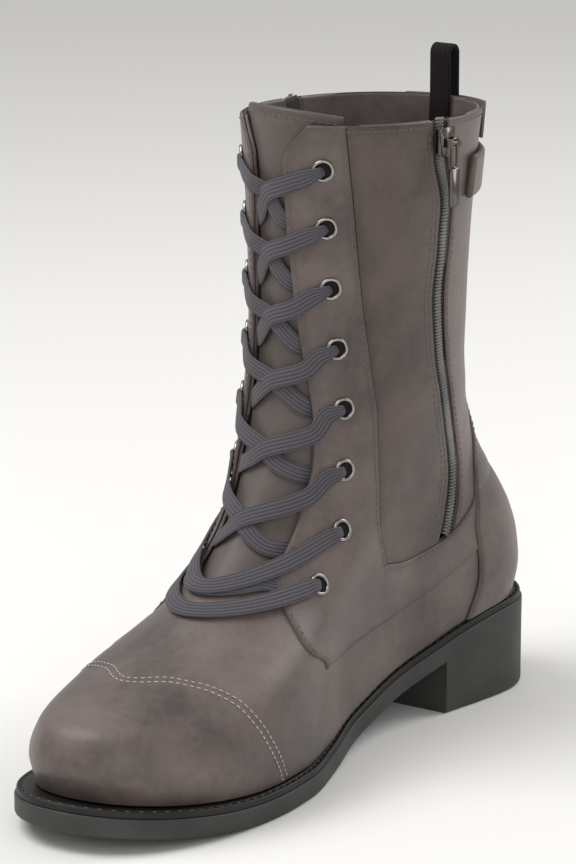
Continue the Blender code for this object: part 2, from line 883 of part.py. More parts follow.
def lace_band(name, stops, segments):
    """A flat lace through stops of round share, height and the offset of its middle."""
    path = []
    places = []
    knots = tuple(k / (len(stops) - 1) for k in range(len(stops)))
    for k in range(segments + 1):
        u = k / segments
        around, height, offset = (monotone(knots, tuple(s[c] for s in stops), u) for c in range(3))
        places.append((around, height))
        path.append(skin(around, height, offset))

    def across(k, at):
        normal = outward(*places[k])
        ahead = path[min(k + 1, segments)] - path[max(k - 1, 0)]
        return normal.cross(ahead)

    return ribbon(name, path, across, LACE_WIDTH, LACE_THICK, "flat lace")


def edge_share(height):
    return table_curve(UPRIGHTS, 1, height)


def eyelet_stop(side, k):
    """Where a lace stops short of an eyelet's flange, on its throat side."""
    height, around = EYELETS[k]
    clear = (EYELET_FLANGE / 2 + LACE_GAP) * per_metre(around, height)
    return side * (around - clear), height


def throat_foot():
    """Height share where the vamp ends and the open throat starts."""
    return LEVELS[0][2]


def lace_rest(height):
    """Offset of a lace's middle where it lies on the tongue, or lower down on the vamp."""
    return ON_TONGUE if height > throat_foot() + LACE_WIDTH / COLLAR_HEIGHT else ON_VAMP


def make_crossing(k):
    """Two laces that cross over the tongue between eyelets k and k + 1, joined where they cross."""
    bands = []
    leave_drop = 0.15
    arrive_rise = 0.10 if EYELETS[k + 1][0] > throat_foot() else 0.50
    for side, lift in ((1, LACE_THICK * 0.85), (-1, 0.0)):
        start, high = eyelet_stop(side, k)
        low = EYELETS[k + 1][0]
        leave = high - leave_drop * (high - low)
        middle = (high + low) / 2
        arrive = low + arrive_rise * (high - low)
        tuck = -side * (edge_share(arrive) - TUCK_SETBACK * per_metre(0.0, arrive))
        stops = [
            (start, high, OVER_FACING),
            (side * edge_share(leave), leave, OVER_FACING),
            (0.0, middle, lace_rest(middle) + lift + CROSS_GAP),
            (tuck, arrive, lace_rest(arrive)),
        ]
        bands.append(lace_band("lace_%d_%s" % (k, side), stops, 9))
    return unite(bands[0], bands[1], "lace_crossing_%d" % (k + 1))


def make_lace_bar():
    """The straight run on the outside between the two lowest eyelets."""
    start, height = eyelet_stop(1, len(EYELETS) - 1)
    sag = BAR_SAG / COLLAR_HEIGHT
    edge = edge_share(height + sag)
    stops = [
        (start, height, OVER_FACING),
        (edge, height + sag / 3, OVER_FACING),
        (0.0, height + sag, ON_VAMP + STEP / 2),
        (-edge, height + sag / 3, OVER_FACING),
        (-start, height, OVER_FACING),
    ]
    return lace_band("lace_bar", stops, 12)


# Zips

def make_zip(name, side):
    """Tape and closed chain that fill the slot between side panel and back."""
    sections = []
    first = strip_start("zip")
    for row in range(SHAFT_FOOT, ROWS + 1):
        front_edge = grid_place(side * first, row, 0.0)
        rear_edge = grid_place(side * (first + 1), row, 0.0)
        around, height = grid_share(side * first, row)
        behind, _ = grid_share(side * (first + 1), row)
        normal = outward((around + behind) / 2, height)
        across = (rear_edge - front_edge).normalized()
        reach = (rear_edge - front_edge).length / 2 - SLOT_GAP
        chain = front_edge.lerp(rear_edge, 0.5)
        if row == SHAFT_FOOT:
            chain.z += 2 * GAP
        low = -WALL + GAP
        face = low + TAPE_THICK
        half = min(CHAIN_WIDTH / 2, reach - LACE_GAP)
        outline_points = [(-reach, low), (reach, low), (reach, face), (half, face),
                          (half, CHAIN_PROUD), (-half, CHAIN_PROUD), (-half, face), (-reach, face)]
        sections.append([chain + across * u + normal * v for u, v in outline_points])
    return swept(name, sections, "zip tape")


def slot_middle(height):
    lines = strip_lines(height)
    return (lines[3] + lines[4]) / 2


def pull_frame(side, at):
    """Frame of a zip slider: X across the zip, Y up, Z outwards and level."""
    around = side * slot_middle(at)
    normal = outward(around, at)
    level = Vector((normal.x, normal.y, 0)).normalized()
    up = Vector((0, 0, 1))
    across = up.cross(level)
    frame = Matrix((across, up, level)).transposed().to_4x4()
    return Matrix.Translation(skin(around, at, 0.0)) @ frame


def block(body, size, centre):
    """A box of a size at a centre."""
    made = bmesh.ops.create_cube(body, size=1.0)["verts"]
    bmesh.ops.scale(body, vec=size, verts=made)
    bmesh.ops.translate(body, vec=centre, verts=made)


def solid(name, material, matrix, build):
    """One object from a builder of a single closed body, placed by a matrix."""
    mesh = bpy.data.meshes.new(name)
    body = bmesh.new()
    build(body)
    bmesh.ops.recalc_face_normals(body, faces=body.faces)
    body.to_mesh(mesh)
    body.free()
    thing = mesh_node(name, mesh, material)
    thing.matrix_world = matrix
    return thing


def make_slider(name, side, at):
    """Slider body on the chain, with two ears and the pin that carries the pull."""
    frame = pull_frame(side, at)

    def plate_body(body):
        size = (SLIDER_WIDTH, SLIDER_LENGTH, SLIDER_THICK)
        block(body, size, (0, 0, SLIDER_FOOT + SLIDER_THICK / 2))
        bmesh.ops.bevel(body, geom=body.edges[:], offset=SLIDER_BEVEL, segments=1, affect="EDGES")

    slider = solid(name, "nickel", frame, plate_body)
    for hand in (1, -1):
        def ear(body, hand=hand):
            size = (EAR_THICK, EAR_HEIGHT, PIN_HEIGHT + 2 * EAR_CROWN)
            middle = (EAR_GAP + EAR_THICK) / 2
            block(body, size, (hand * middle, 0, PIN_AT + EAR_CROWN - size[2] / 2))
        unite(slider, solid(name + "_ear", "nickel", frame, ear), name)

    def pin(body):
        bmesh.ops.create_cone(body, cap_ends=True, segments=10, radius1=PIN_RADIUS, radius2=PIN_RADIUS,
                              depth=EAR_GAP + EAR_THICK)
        bmesh.ops.rotate(body, matrix=Matrix.Rotation(pi / 2, 3, "Y"), verts=body.verts[:])
        bmesh.ops.translate(body, vec=(0, 0, PIN_AT), verts=body.verts[:])

    return unite(slider, solid(name + "_pin", "nickel", frame, pin), name)


def make_pull(name, side, at, length):
    """Pull that hangs from the slider's pin: an eye round the pin, then a flat tab with a window."""
    pivot = bpy.data.objects.new(name + "_pivot", None)
    parts.objects.link(pivot)
    pivot.matrix_world = pull_frame(side, at) @ Matrix.Translation((0, 0, PIN_AT))
    eye_width = EAR_GAP - 2 * GAP
    inner = PIN_RADIUS + PIN_GAP
    outer = inner + PULL_EYE_WALL
    points = []
    faces = []
    turns = 14
    for x in (-eye_width / 2, eye_width / 2):
        for radius in (inner, outer):
            for k in range(turns):
                angle = 2 * pi * k / turns
                points.append(Vector((x, radius * sin(angle), radius * cos(angle))))
    for k in range(turns):
        j = (k + 1) % turns
        a, b, c, d = 0, turns, 2 * turns, 3 * turns
        faces.append((a + k, a + j, b + j, b + k))
        faces.append((c + k, d + k, d + j, c + j))
        faces.append((b + k, b + j, d + j, d + k))
        faces.append((a + k, c + k, c + j, a + j))
    eye = mesh_object(name, points, faces, "nickel")
    eye.matrix_world = pivot.matrix_world

    def tab(body):
        top = -(inner + PULL_EYE_WALL / 3)
        size = (PULL_WIDTH, length + top, PULL_THICK)
        block(body, size, (0, top - size[1] / 2, 0))
        upright = [e for e in body.edges if abs((e.verts[0].co - e.verts[1].co).z) > PULL_THICK / 2]
        bmesh.ops.bevel(body, geom=upright, offset=PULL_CORNER, segments=2, affect="EDGES")

    pull = unite(eye, solid(name + "_tab", "nickel", pivot.matrix_world, tab), name)

    def window(body):
        tall = length * 0.36
        block(body, (PULL_WIDTH * 0.45, tall, 3 * PULL_THICK), (0, -tall, 0))

    cutter = solid(name + "_window", "nickel", pivot.matrix_world, window)
    cut = pull.modifiers.new("window", "BOOLEAN")
    cut.operation = "DIFFERENCE"
    cut.object = cutter
    parts.objects.unlink(cutter)
    cutters.objects.link(cutter)
    cutter.hide_render = True
    cutter.display_type = "WIRE"
    world = pull.matrix_world.copy()
    pull.parent = pivot
    pull.matrix_parent_inverse = pivot.matrix_world.inverted()
    pull.matrix_world = world
    return pull


def new_material(name, colour, metallic, roughness):
    material = bpy.data.materials.new(name)
    material.use_nodes = True
    shader = material.node_tree.nodes["Principled BSDF"]
    shader.inputs["Base Color"].default_value = (*[c ** 2.2 for c in colour], 1.0)
    shader.inputs["Metallic"].default_value = metallic
    shader.inputs["Roughness"].default_value = roughness
    return material


def shade():
    for thing in parts.objects:
        if thing.type == "MESH":
            thing.data.shade_smooth()
            thing.data.set_sharp_from_angle(angle=radians(35))


for leftover in list(bpy.data.objects):
    bpy.data.objects.remove(leftover)
parts = bpy.data.collections.new("lace_up_boot")
cutters = bpy.data.collections.new("cutters")
for collection in (parts, cutters):
    bpy.context.scene.collection.children.link(collection)
materials = {name: new_material(name, *values) for name, values in COLOURS.items()}

make_outsole()
make_heel()
make_welt()
make_insole()
make_upper()
make_tongue()
make_backstay()
make_back_strap()
make_back_tab()
make_pull_loop()
for index, (eyelet_height, eyelet_round) in enumerate(EYELETS, start=1):
    make_eyelet("eyelet_medial_%d" % index, eyelet_round, eyelet_height)
    make_eyelet("eyelet_lateral_%d" % index, -eyelet_round, eyelet_height)
for crossing in range(len(EYELETS) - 1):
    make_crossing(crossing)
make_lace_bar()
make_zip("medial_zip", 1)
make_zip("lateral_zip", -1)
make_slider("medial_slider", 1, MEDIAL_SLIDER_AT)
make_slider("lateral_slider", -1, LATERAL_SLIDER_AT)
make_pull("medial_pull", 1, MEDIAL_SLIDER_AT, MEDIAL_PULL_LENGTH)
make_pull("lateral_pull", -1, LATERAL_SLIDER_AT, LATERAL_PULL_LENGTH)
shade()
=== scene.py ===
"""Looks of the lace-up boot: leather, stitching, laces, zips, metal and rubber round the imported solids.

Metres, +Z up, +X towards the toe, +Y towards the medial side of the right foot.
The upper's surface function and its guide lines are the ones that the solids follow.
"""

from math import cos, pi, radians, sin

import bmesh
import bpy
import numpy as np
from mathutils import Matrix, Vector
from mathutils.kdtree import KDTree


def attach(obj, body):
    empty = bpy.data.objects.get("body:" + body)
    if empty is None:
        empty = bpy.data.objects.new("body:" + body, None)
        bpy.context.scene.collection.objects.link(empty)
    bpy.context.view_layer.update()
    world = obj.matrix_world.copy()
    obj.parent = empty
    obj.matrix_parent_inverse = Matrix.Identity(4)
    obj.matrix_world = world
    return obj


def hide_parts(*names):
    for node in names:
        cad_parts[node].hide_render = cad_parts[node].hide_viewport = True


bl_info = {
    "name": "Lace-up boot",
    "version": (1, 0, 0),
    "blender": (4, 5, 0),
    "location": "View3D > Sidebar > Boot",
    "description": "Builds the visible pieces and materials of a lace-up leather boot",
    "category": "Object",
}

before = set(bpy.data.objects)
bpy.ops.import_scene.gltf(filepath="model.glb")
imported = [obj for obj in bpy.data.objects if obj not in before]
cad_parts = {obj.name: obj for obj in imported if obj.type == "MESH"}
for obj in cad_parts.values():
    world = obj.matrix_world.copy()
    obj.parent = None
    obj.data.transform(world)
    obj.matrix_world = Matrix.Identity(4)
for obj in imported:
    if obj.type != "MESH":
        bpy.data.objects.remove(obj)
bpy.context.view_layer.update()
MM = 0.001

# Sizes of the solids, repeated here
LENGTH = 281 * MM
BALL_WIDTH = 95 * MM
HEEL_HEIGHT = 27.5 * MM
OUTSOLE_THICK = 7.6 * MM
WELT_THICK = 2.2 * MM
TOE_SPRING = 7.5 * MM
WELT_SETBACK = 0.8 * MM
WELT_WIDTH = 13 * MM
INSOLE_THICK = 3.0 * MM
TOE_HEIGHT = 51 * MM
INSTEP_HEIGHT = 114 * MM
COLLAR_HEIGHT = 238.5 * MM
COUNTER_HEIGHT = 90 * MM
WALL = 2.0 * MM
STEP = 1.1 * MM
TONGUE_THICK = 2.4 * MM
TONGUE_RISE = 5 * MM
OVERLAY_THICK = 1.2 * MM
SLOT_AHEAD = 3.9 * MM
SLOT_BEHIND = 5.2 * MM
EYELET_FLANGE = 8.9 * MM
EYELET_BORE = 4.6 * MM
LACE_WIDTH = 6.8 * MM
LACE_THICK = 1.1 * MM
TUCK_SETBACK = 4.2 * MM
BAR_SAG = 2.9 * MM
SLIDER_FOOT = 1.4 * MM
SLIDER_THICK = 2.6 * MM
PIN_HEIGHT = 2.7 * MM
PIN_RADIUS = 0.8 * MM
PIN_AT = SLIDER_FOOT + SLIDER_THICK + PIN_HEIGHT
MEDIAL_PULL_LENGTH = 24 * MM
LATERAL_PULL_LENGTH = 34 * MM
STRAP_THICK = 2.8 * MM
LOOP_WIDTH = 9 * MM
LOOP_RISE = 15 * MM
LOOP_THICK = 1.3 * MM
GAP = 0.3 * MM
SEAT_GAP = 0.6 * MM
LACE_GAP = 0.5 * MM
HEEL_CENTRE = 0.13
HEEL_BREAST = 0.262
FOREFOOT_FLAT = (0.60, 0.74)
SHANK_SPAN = 0.52
HEEL_END = 0.115
TOE_END = 0.255
TOE_POWER = 2.15
THROAT_TURN = -0.06
TURN_START = 0.72
TURN_SPAN = 0.20
BACK_STRAP_FOOT = 0.925
BACK_STRAP_TOP = 0.962
BACK_STRAP_REACH = 0.64
BACK_TAB_REACH = 0.86
MEDIAL_SLIDER_AT = 0.982
LATERAL_SLIDER_AT = 0.945

# Sizes of the scene's own detail
SHELL_ROLL = 1.3 * MM
QUARTER_ROLL = 1.1 * MM
PANEL_THICK = 0.5 * MM
PANEL_ROLL = 0.7 * MM
BACKSTAY_ROLL = 1.2 * MM
TONGUE_ROLL = 1.4 * MM
PUCKER_DEPTH = 0.18 * MM
STITCH_HEIGHT = 0.5 * MM
CAP_ROW_INSET = 1.3 * MM
ROW_INSET = 2.2 * MM
EYELET_THINNED = 0.6 * MM
EYELET_DOME = 0.85 * MM
ZIP_STEPS = 160
TAPE_WIDTH = 7.4 * MM
TAPE_THICK = 0.7 * MM
TAPE_DEPTH = 1.1 * MM
COIL_SETBACK = 1.05 * MM
COIL_DEPTH = 0.35 * MM
COIL_WIDTH = 2.5 * MM
COIL_HEIGHT = 1.7 * MM

# Half-widths of the sole before its ends are rounded, as shares of the ball width
SOLE_SIDES = (
    # along, medial, lateral
    (0.00, 0.350, 0.350),
    (0.12, 0.350, 0.350),
    (0.25, 0.312, 0.335),
    (0.36, 0.272, 0.325),
    (0.45, 0.292, 0.345),
    (0.55, 0.380, 0.390),
    (0.65, 0.475, 0.445),
    (0.73, 0.500, 0.455),
    (0.82, 0.500, 0.440),
    (1.00, 0.490, 0.420),
)

# Sections of the upper from the welt up to the collar
SECTIONS = (
    # front, front_rise, back, back_rise, medial, lateral, toe_end, heel_end, toe_power, plain, follow
    (0.962, 0.00, 0.026, 0.00, 0.460, 0.418, 0.265, 0.115, 2.15, 0.00, 1.00),
    (0.976, 0.35, 0.014, 0.26, 0.478, 0.432, 0.275, 0.120, 2.15, 0.00, 0.85),
    (0.960, 0.62, 0.018, 0.47, 0.472, 0.420, 0.290, 0.130, 2.10, 0.05, 0.70),
    (0.914, 0.83, 0.030, 0.67, 0.452, 0.388, 0.320, 0.150, 2.00, 0.15, 0.55),
    (0.835, 1.00, 0.048, 0.85, 0.422, 0.350, 0.360, 0.180, 1.90, 0.30, 0.40),
    (0.757, 1.12, 0.066, 1.00, 0.392, 0.320, 0.400, 0.240, 1.80, 0.45, 0.27),
    (0.688, 1.29, 0.085, 1.06, 0.370, 0.305, 0.440, 0.300, 1.75, 0.60, 0.15),
    (0.628, 1.49, 0.100, 1.12, 0.352, 0.305, 0.480, 0.360, 1.75, 0.75, 0.07),
    (0.576, 1.75, 0.112, 1.19, 0.342, 0.315, 0.500, 0.420, 1.80, 0.90, 0.00),
    (0.541, 2.00, 0.120, 1.27, 0.339, 0.328, 0.500, 0.480, 1.95, 1.00, 0.00),
    (0.513, 2.18, 0.125, 1.37, 0.338, 0.336, 0.500, 0.500, 2.10, 1.00, 0.00),
    (0.500, 2.41, 0.124, 1.54, 0.344, 0.342, 0.500, 0.500, 2.10, 1.00, 0.00),
    (0.497, 2.70, 0.118, 1.76, 0.366, 0.366, 0.500, 0.500, 2.10, 1.00, 0.00),
    (0.502, 3.00, 0.110, 1.97, 0.402, 0.402, 0.500, 0.500, 2.10, 1.00, 0.00),
)

# Guide lines that run up the upper, as shares of the way from the throat's centre to the back seam
UPRIGHTS = (
    # height, facing edge, eyestay seam, zip line, counter edge
    (0.000, 0.440, 0.560, 0.650, 0.715),
    (0.100, 0.440, 0.560, 0.650, 0.726),
    (0.187, 0.434, 0.555, 0.650, 0.722),
    (0.284, 0.358, 0.545, 0.655, 0.715),
    (0.383, 0.290, 0.510, 0.656, 0.722),
    (0.456, 0.234, 0.475, 0.656, 0.745),
    (0.505, 0.208, 0.450, 0.655, 0.780),
    (0.560, 0.213, 0.425, 0.645, 0.830),
    (0.645, 0.200, 0.380, 0.612, 0.895),
    (0.720, 0.165, 0.345, 0.580, 0.930),
    (0.785, 0.129, 0.318, 0.550, 0.932),
    (0.845, 0.103, 0.300, 0.537, 0.932),
    (0.890, 0.090, 0.287, 0.548, 0.932),
    (0.920, 0.078, 0.275, 0.548, 0.932),
    (0.970, 0.068, 0.252, 0.505, 0.932),
    (1.000, 0.140, 0.239, 0.492, 0.932),
)

# Guide lines that run round the upper, as height shares
LEVELS = (
    # round, quarter's lower seam, throat foot and panel's lower edge
    (0.000, 0.187, 0.500),
    (0.210, 0.187, 0.500),
    (0.350, 0.187, 0.440),
    (0.434, 0.187, 0.395),
    (0.535, 0.158, 0.332),
    (0.600, 0.140, 0.285),
    (0.650, 0.146, 0.280),
    (0.690, 0.163, 0.320),
    (0.730, 0.182, 0.375),
    (1.000, 0.182, 0.380),
)

# Eyelets from the collar down, on the medial side; the lateral side mirrors them about the throat
EYELETS = (
    # height, round
    (0.966, 0.184),
    (0.921, 0.196),
    (0.874, 0.208),
    (0.820, 0.218),
    (0.753, 0.236),
    (0.656, 0.283),
    (0.538, 0.340),
    (0.433, 0.334),
)

# Toe cap seam on the medial half, mirrored on the lateral half
CAP_SEAM = (
    # round, height
    (0.000, 0.305),
    (0.090, 0.309),
    (0.172, 0.286),
    (0.250, 0.236),
    (0.300, 0.165),
    (0.332, 0.085),
    (0.352, 0.010),
)

# Strips of the visible grid, with their columns, and zones, with their rows
STRIPS = (("vamp", 34), ("facing", 26), ("panel", 26), ("zip", 6), ("rear", 16), ("counter", 18))
ZONES = (("lower", 28), ("band", 16), ("shaft", 104))

# Creases: where each runs, how wide it is and how deep; a negative depth is a ridge
CREASES = (
    # start round, start height, end round, end height, width mm, depth mm
    # Soft dent over the front of the toe, with the swell above it
    (-0.16, 0.110, 0.14, 0.118, 5.0, 0.55),
    (-0.14, 0.165, 0.12, 0.172, 6.0, -0.35),
    # Flexing creases behind the toe cap
    (-0.24, 0.335, -0.04, 0.395, 4.0, 0.50),
    (0.05, 0.400, 0.26, 0.330, 4.0, 0.55),
    (0.10, 0.345, 0.28, 0.262, 3.0, 0.35),
    (-0.30, 0.262, -0.12, 0.345, 3.0, 0.40),
    (0.00, 0.440, 0.20, 0.400, 4.5, -0.40),
    # Pulls between the lowest eyelet and the quarter's corner
    (0.36, 0.360, 0.45, 0.250, 3.5, 0.35),
    (0.42, 0.330, 0.56, 0.235, 4.0, 0.45),
    (-0.42, 0.330, -0.56, 0.235, 4.0, 0.40),
    # Ankle folds across the quarter
    (0.40, 0.480, 0.58, 0.430, 5.0, 0.55),
    (0.36, 0.560, 0.56, 0.520, 5.5, 0.50),
    (0.44, 0.520, 0.60, 0.472, 4.5, -0.40),
    (-0.40, 0.500, -0.58, 0.450, 5.0, 0.60),
    (-0.36, 0.575, -0.56, 0.545, 5.5, 0.45),
    # Slack of the side panel
    (0.36, 0.700, 0.56, 0.668, 6.0, 0.45),
    (0.33, 0.790, 0.50, 0.775, 7.0, 0.40),
    (0.30, 0.865, 0.50, 0.880, 7.0, 0.35),
    (-0.34, 0.720, -0.54, 0.690, 6.0, 0.45),
    (-0.32, 0.830, -0.50, 0.822, 7.0, 0.40),
    # Achilles folds behind the ankle
    (0.70, 0.470, 0.90, 0.520, 4.0, 0.50),
    (0.72, 0.540, 0.94, 0.590, 4.5, 0.45),
    (0.68, 0.630, 0.92, 0.660, 5.5, 0.40),
    (-0.70, 0.480, -0.90, 0.530, 4.0, 0.50),
    (-0.72, 0.560, -0.94, 0.600, 4.5, 0.45),
    # Soft tensions low on the sides
    (0.50, 0.075, 0.66, 0.095, 5.0, 0.35),
    (0.40, 0.120, 0.50, 0.060, 5.0, 0.30),
    (-0.50, 0.080, -0.66, 0.100, 5.0, 0.35),
)


# Colours

def to_linear(text):
    """sRGB hex colour as linear RGB."""
    values = [int(text[k:k + 2], 16) / 255 for k in (1, 3, 5)]
    return tuple(v / 12.92 if v <= 0.04045 else ((v + 0.055) / 1.055) ** 2.4 for v in values)


# Curves through tables, for arrays

def monotone(xs, ys, at):
    steps = np.diff(ys) / np.diff(xs)
    before, after = steps[:-1], steps[1:]
    total = np.where(before * after > 0, before + after, 1.0)
    inner = np.where(before * after > 0, 2 * before * after / total, 0.0)
    tangent = np.concatenate([steps[:1], inner, steps[-1:]])
    at = np.clip(at, xs[0], xs[-1])
    k = np.clip(np.searchsorted(xs, at, side="left") - 1, 0, len(xs) - 2)
    span = xs[k + 1] - xs[k]
    u = (at - xs[k]) / span
    rise = 3 * u * u - 2 * u ** 3
    lead = (u ** 3 - 2 * u * u + u) * span * tangent[k]
    trail = (u ** 3 - u * u) * span * tangent[k + 1]
    return ys[k] * (1 - rise) + ys[k + 1] * rise + lead + trail


def table_curve(table, column, at):
    """Monotone cubic through one column of a table whose first column is the position."""
    rows = np.array(table)
    return monotone(rows[:, 0], rows[:, column], at)


def ease(u):
    u = np.clip(u, 0.0, 1.0)
    return u * u * (3 - 2 * u)


def round_end(u, power):
    u = np.clip(u, 0.0, 1.0)
    return (1 - u ** power) ** (1 / power)


def unit(vectors):
    return vectors / np.maximum(np.linalg.norm(vectors, axis=-1, keepdims=True), 1e-12)


# Sole lines

def sole_bottom(share):
    flat_from, flat_to = FOREFOOT_FLAT
    spring = np.maximum(0.0, (share - flat_to) / (1 - flat_to)) ** 1.6
    return HEEL_HEIGHT * ease((flat_from - share) / SHANK_SPAN) + TOE_SPRING * spring


def sole_top(share):
    return sole_bottom(share) + OUTSOLE_THICK


def welt_top(share):
    return sole_top(share) + GAP + WELT_THICK


def feather(share):
    """Height of the upper's lower edge, just above the welt."""
    return welt_top(share) + SEAT_GAP


def half_width(share, medial):
    """Half-width of the sole before its ends are rounded."""
    sides = (table_curve(SOLE_SIDES, column, share) for column in (1, 2))
    return np.where(medial, *sides) * BALL_WIDTH


def place_x(share):
    return (share - HEEL_CENTRE) * LENGTH


def length_share(x):
    return x / LENGTH + HEEL_CENTRE


def outline_point(angle):
    """Sole outline at an angle: 0 at the toe, pi at the heel, positive on the medial side."""
    angle = (angle + pi) % (2 * pi) - pi
    share = (1 + np.cos(angle)) / 2
    medial = angle >= 0
    toe = round_end((share - 1 + TOE_END) / TOE_END, TOE_POWER)
    heel = round_end((HEEL_END - share) / HEEL_END, 2.0)
    y = np.where(medial, 1, -1) * half_width(share, medial) * toe * heel
    return np.stack([place_x(share), y], axis=-1)


def outline(angle, inset):
    """Outline point moved inwards at right angles to the outline."""
    small = 0.004
    run = outline_point(angle + small) - outline_point(angle - small)
    outward_way = unit(np.stack([run[..., 1], -run[..., 0]], axis=-1))
    return outline_point(angle) - outward_way * inset


# Surface of the upper

def height_mark(level, marks):
    """Height at a level: 0 is the first mark, 1 the second, and straight between them."""
    marks = np.array(marks)
    k = np.clip(level.astype(int), 0, len(marks) - 2)
    return marks[k] + (level - k) * (marks[k + 1] - marks[k])


def throat_turn(height):
    return THROAT_TURN * ease((height - TURN_START) / TURN_SPAN)


def widest(medial):
    shares = np.array([row[0] for row in SOLE_SIDES])
    return half_width(shares, np.full(len(shares), medial)).max()


def last(around, height):
    """Outer face of the upper without overlays; around and height are arrays of one shape."""
    around, height = np.broadcast_arrays(np.asarray(around, float), np.asarray(height, float))
    above = np.maximum(0.0, height - 1.0) * COLLAR_HEIGHT
    height = np.minimum(height, 1.0)
    around = (around + 1) % 2 - 1
    turned = around + throat_turn(height) * (1 - np.abs(around))
    sections = np.array(SECTIONS)
    places = np.linspace(0, 1, len(sections))
    values = [monotone(places, sections[:, c], height) for c in range(sections.shape[1])]
    front, front_rise, back, back_rise, medial, lateral, toe_end, heel_end, power, plain, follow = values
    side = np.where(turned >= 0, 1, -1)
    along = (1 + np.cos(turned * pi)) / 2
    share = back + (front - back) * along
    spread = half_width(share, turned >= 0) / np.where(turned >= 0, widest(True), widest(False))
    spread = spread + (1 - spread) * plain
    reach = np.where(turned >= 0, medial, lateral) * BALL_WIDTH
    toe = round_end((along - 1 + toe_end) / toe_end, power)
    heel = round_end((heel_end - along) / heel_end, 2.0)
    front_foot = feather(np.array(SECTIONS[0][0]))
    back_foot = feather(np.array(SECTIONS[0][2]))
    front_z = height_mark(front_rise, (front_foot, TOE_HEIGHT, INSTEP_HEIGHT, COLLAR_HEIGHT))
    back_z = height_mark(back_rise, (back_foot, COUNTER_HEIGHT, COLLAR_HEIGHT))
    straight = feather(back) + (feather(front) - feather(back)) * along
    z = back_z + (front_z - back_z) * along + (feather(share) - straight) * follow
    z = np.where(height == 0.0, feather(share), z)
    return np.stack([place_x(share), side * reach * spread * toe * heel, z + above], axis=-1)


def outward(around, height):
    """Unit normal of the upper's outer face, level at the welt."""
    around, height = np.broadcast_arrays(np.asarray(around, float), np.asarray(height, float))
    height = np.minimum(height, 1.0)
    step = 0.004
    up = last(around, np.minimum(height + step, 1.0)) - last(around, np.maximum(height - step, 0.0))
    back = last(around + step, height) - last(around - step, height)
    normal = np.cross(back, up)
    normal[..., 2] = np.where(height == 0.0, 0.0, normal[..., 2])
    normal = unit(normal)
    inside = (last(0.0 * around, height) + last(0.0 * around + 1.0, height)) / 2
    turned_in = np.sum(normal * (last(around, height) - inside), axis=-1) < 0
    return np.where(turned_in[..., None], -normal, normal)


def relief(points):
    """Depth of the creases and the leather's slight unevenness at points of the surface, outwards."""
    flat = points.reshape(-1, 3)
    x, y, z = (flat / MM).T
    depth = 0.10 * np.sin(x / 11 + 0.6 * np.sin(z / 17)) * np.sin(z / 13 + y / 19)
    depth += 0.06 * np.sin(x / 5.3 + z / 7.1 + 1.3) * np.sin(y / 6.1 - z / 9.7)
    for start_round, start_height, end_round, end_height, width, fall in CREASES:
        stops = np.linspace(0, 1, 9)
        rounds = start_round + (end_round - start_round) * stops
        heights = start_height + (end_height - start_height) * stops
        path = last(rounds, heights) / MM
        nearest = np.full(len(flat), 1e9)
        share = np.zeros(len(flat))
        for k in range(len(path) - 1):
            run = path[k + 1] - path[k]
            u = np.clip(((flat / MM - path[k]) @ run) / (run @ run), 0, 1)
            away = np.linalg.norm(flat / MM - path[k] - u[:, None] * run, axis=1)
            closer = away < nearest
            nearest = np.where(closer, away, nearest)
            share = np.where(closer, (k + u) / (len(path) - 1), share)
        depth -= fall * np.exp(-(nearest / width) ** 2) * np.sin(pi * share) ** 0.5
    return depth.reshape(points.shape[:-1]) * MM


def skin(around, height, offset):
    """Point at a distance outside the creased leather of the upper."""
    base = last(around, height)
    return base + outward(around, height) * (offset + relief(base))[..., None]


def per_metre(around, height):
    """Share round the upper that one metre of leather takes at this place."""
    step = 0.01
    run = last(around + step, height) - last(around - step, height)
    return 2 * step / np.linalg.norm(run, axis=-1)


def rise_per_metre(around, height):
    """Height share that one metre of leather takes at this place."""
    step = 0.01
    run = last(around, height + step) - last(around, height - step)
    return 2 * step / np.linalg.norm(run, axis=-1)


# Grid of the upper, whose columns and rows follow the guide lines

def clustered(count):
    """Shares from 0 to 1 that lie closer together near both ends."""
    k = np.arange(count + 1) / count
    return k - 0.78 * np.sin(2 * pi * k) / (2 * pi)


def strip_lines(height):
    """The guide lines between strips at a height, from throat centre to back seam."""
    edge, eyestay, zip_line, counter = (table_curve(UPRIGHTS, c, height) for c in (1, 2, 3, 4))
    pace = per_metre(zip_line, np.clip(height, 0.05, 1.0))
    ahead = zip_line - SLOT_AHEAD * pace
    behind = zip_line + SLOT_BEHIND * pace
    zero = np.zeros_like(edge)
    return np.stack([zero, edge, eyestay, ahead, behind, np.maximum(counter, behind + 0.02), zero + 1])


def divisions(table):
    """Part number and share within the part for each line of a row of parts."""
    numbers = [0]
    shares = [0.0]
    for number, (_, count) in enumerate(table):
        numbers += [number] * count
        shares += list(clustered(count)[1:])
    return np.array(numbers), np.array(shares)


COLUMN_STRIP, COLUMN_SHARE = divisions(STRIPS)
ROW_ZONE, ROW_SHARE = divisions(ZONES)
HALF = len(COLUMN_STRIP) - 1
ROWS = len(ROW_ZONE) - 1


def row_height(row, around):
    quarter = table_curve(LEVELS, 1, np.abs(around))
    panel = table_curve(LEVELS, 2, np.abs(around))
    marks = np.stack([np.zeros_like(quarter), quarter, panel, np.ones_like(quarter)])
    zone = ROW_ZONE[row]
    low = np.take_along_axis(marks, zone[None], 0)[0]
    high = np.take_along_axis(marks, zone[None] + 1, 0)[0]
    return low + (high - low) * ROW_SHARE[row]


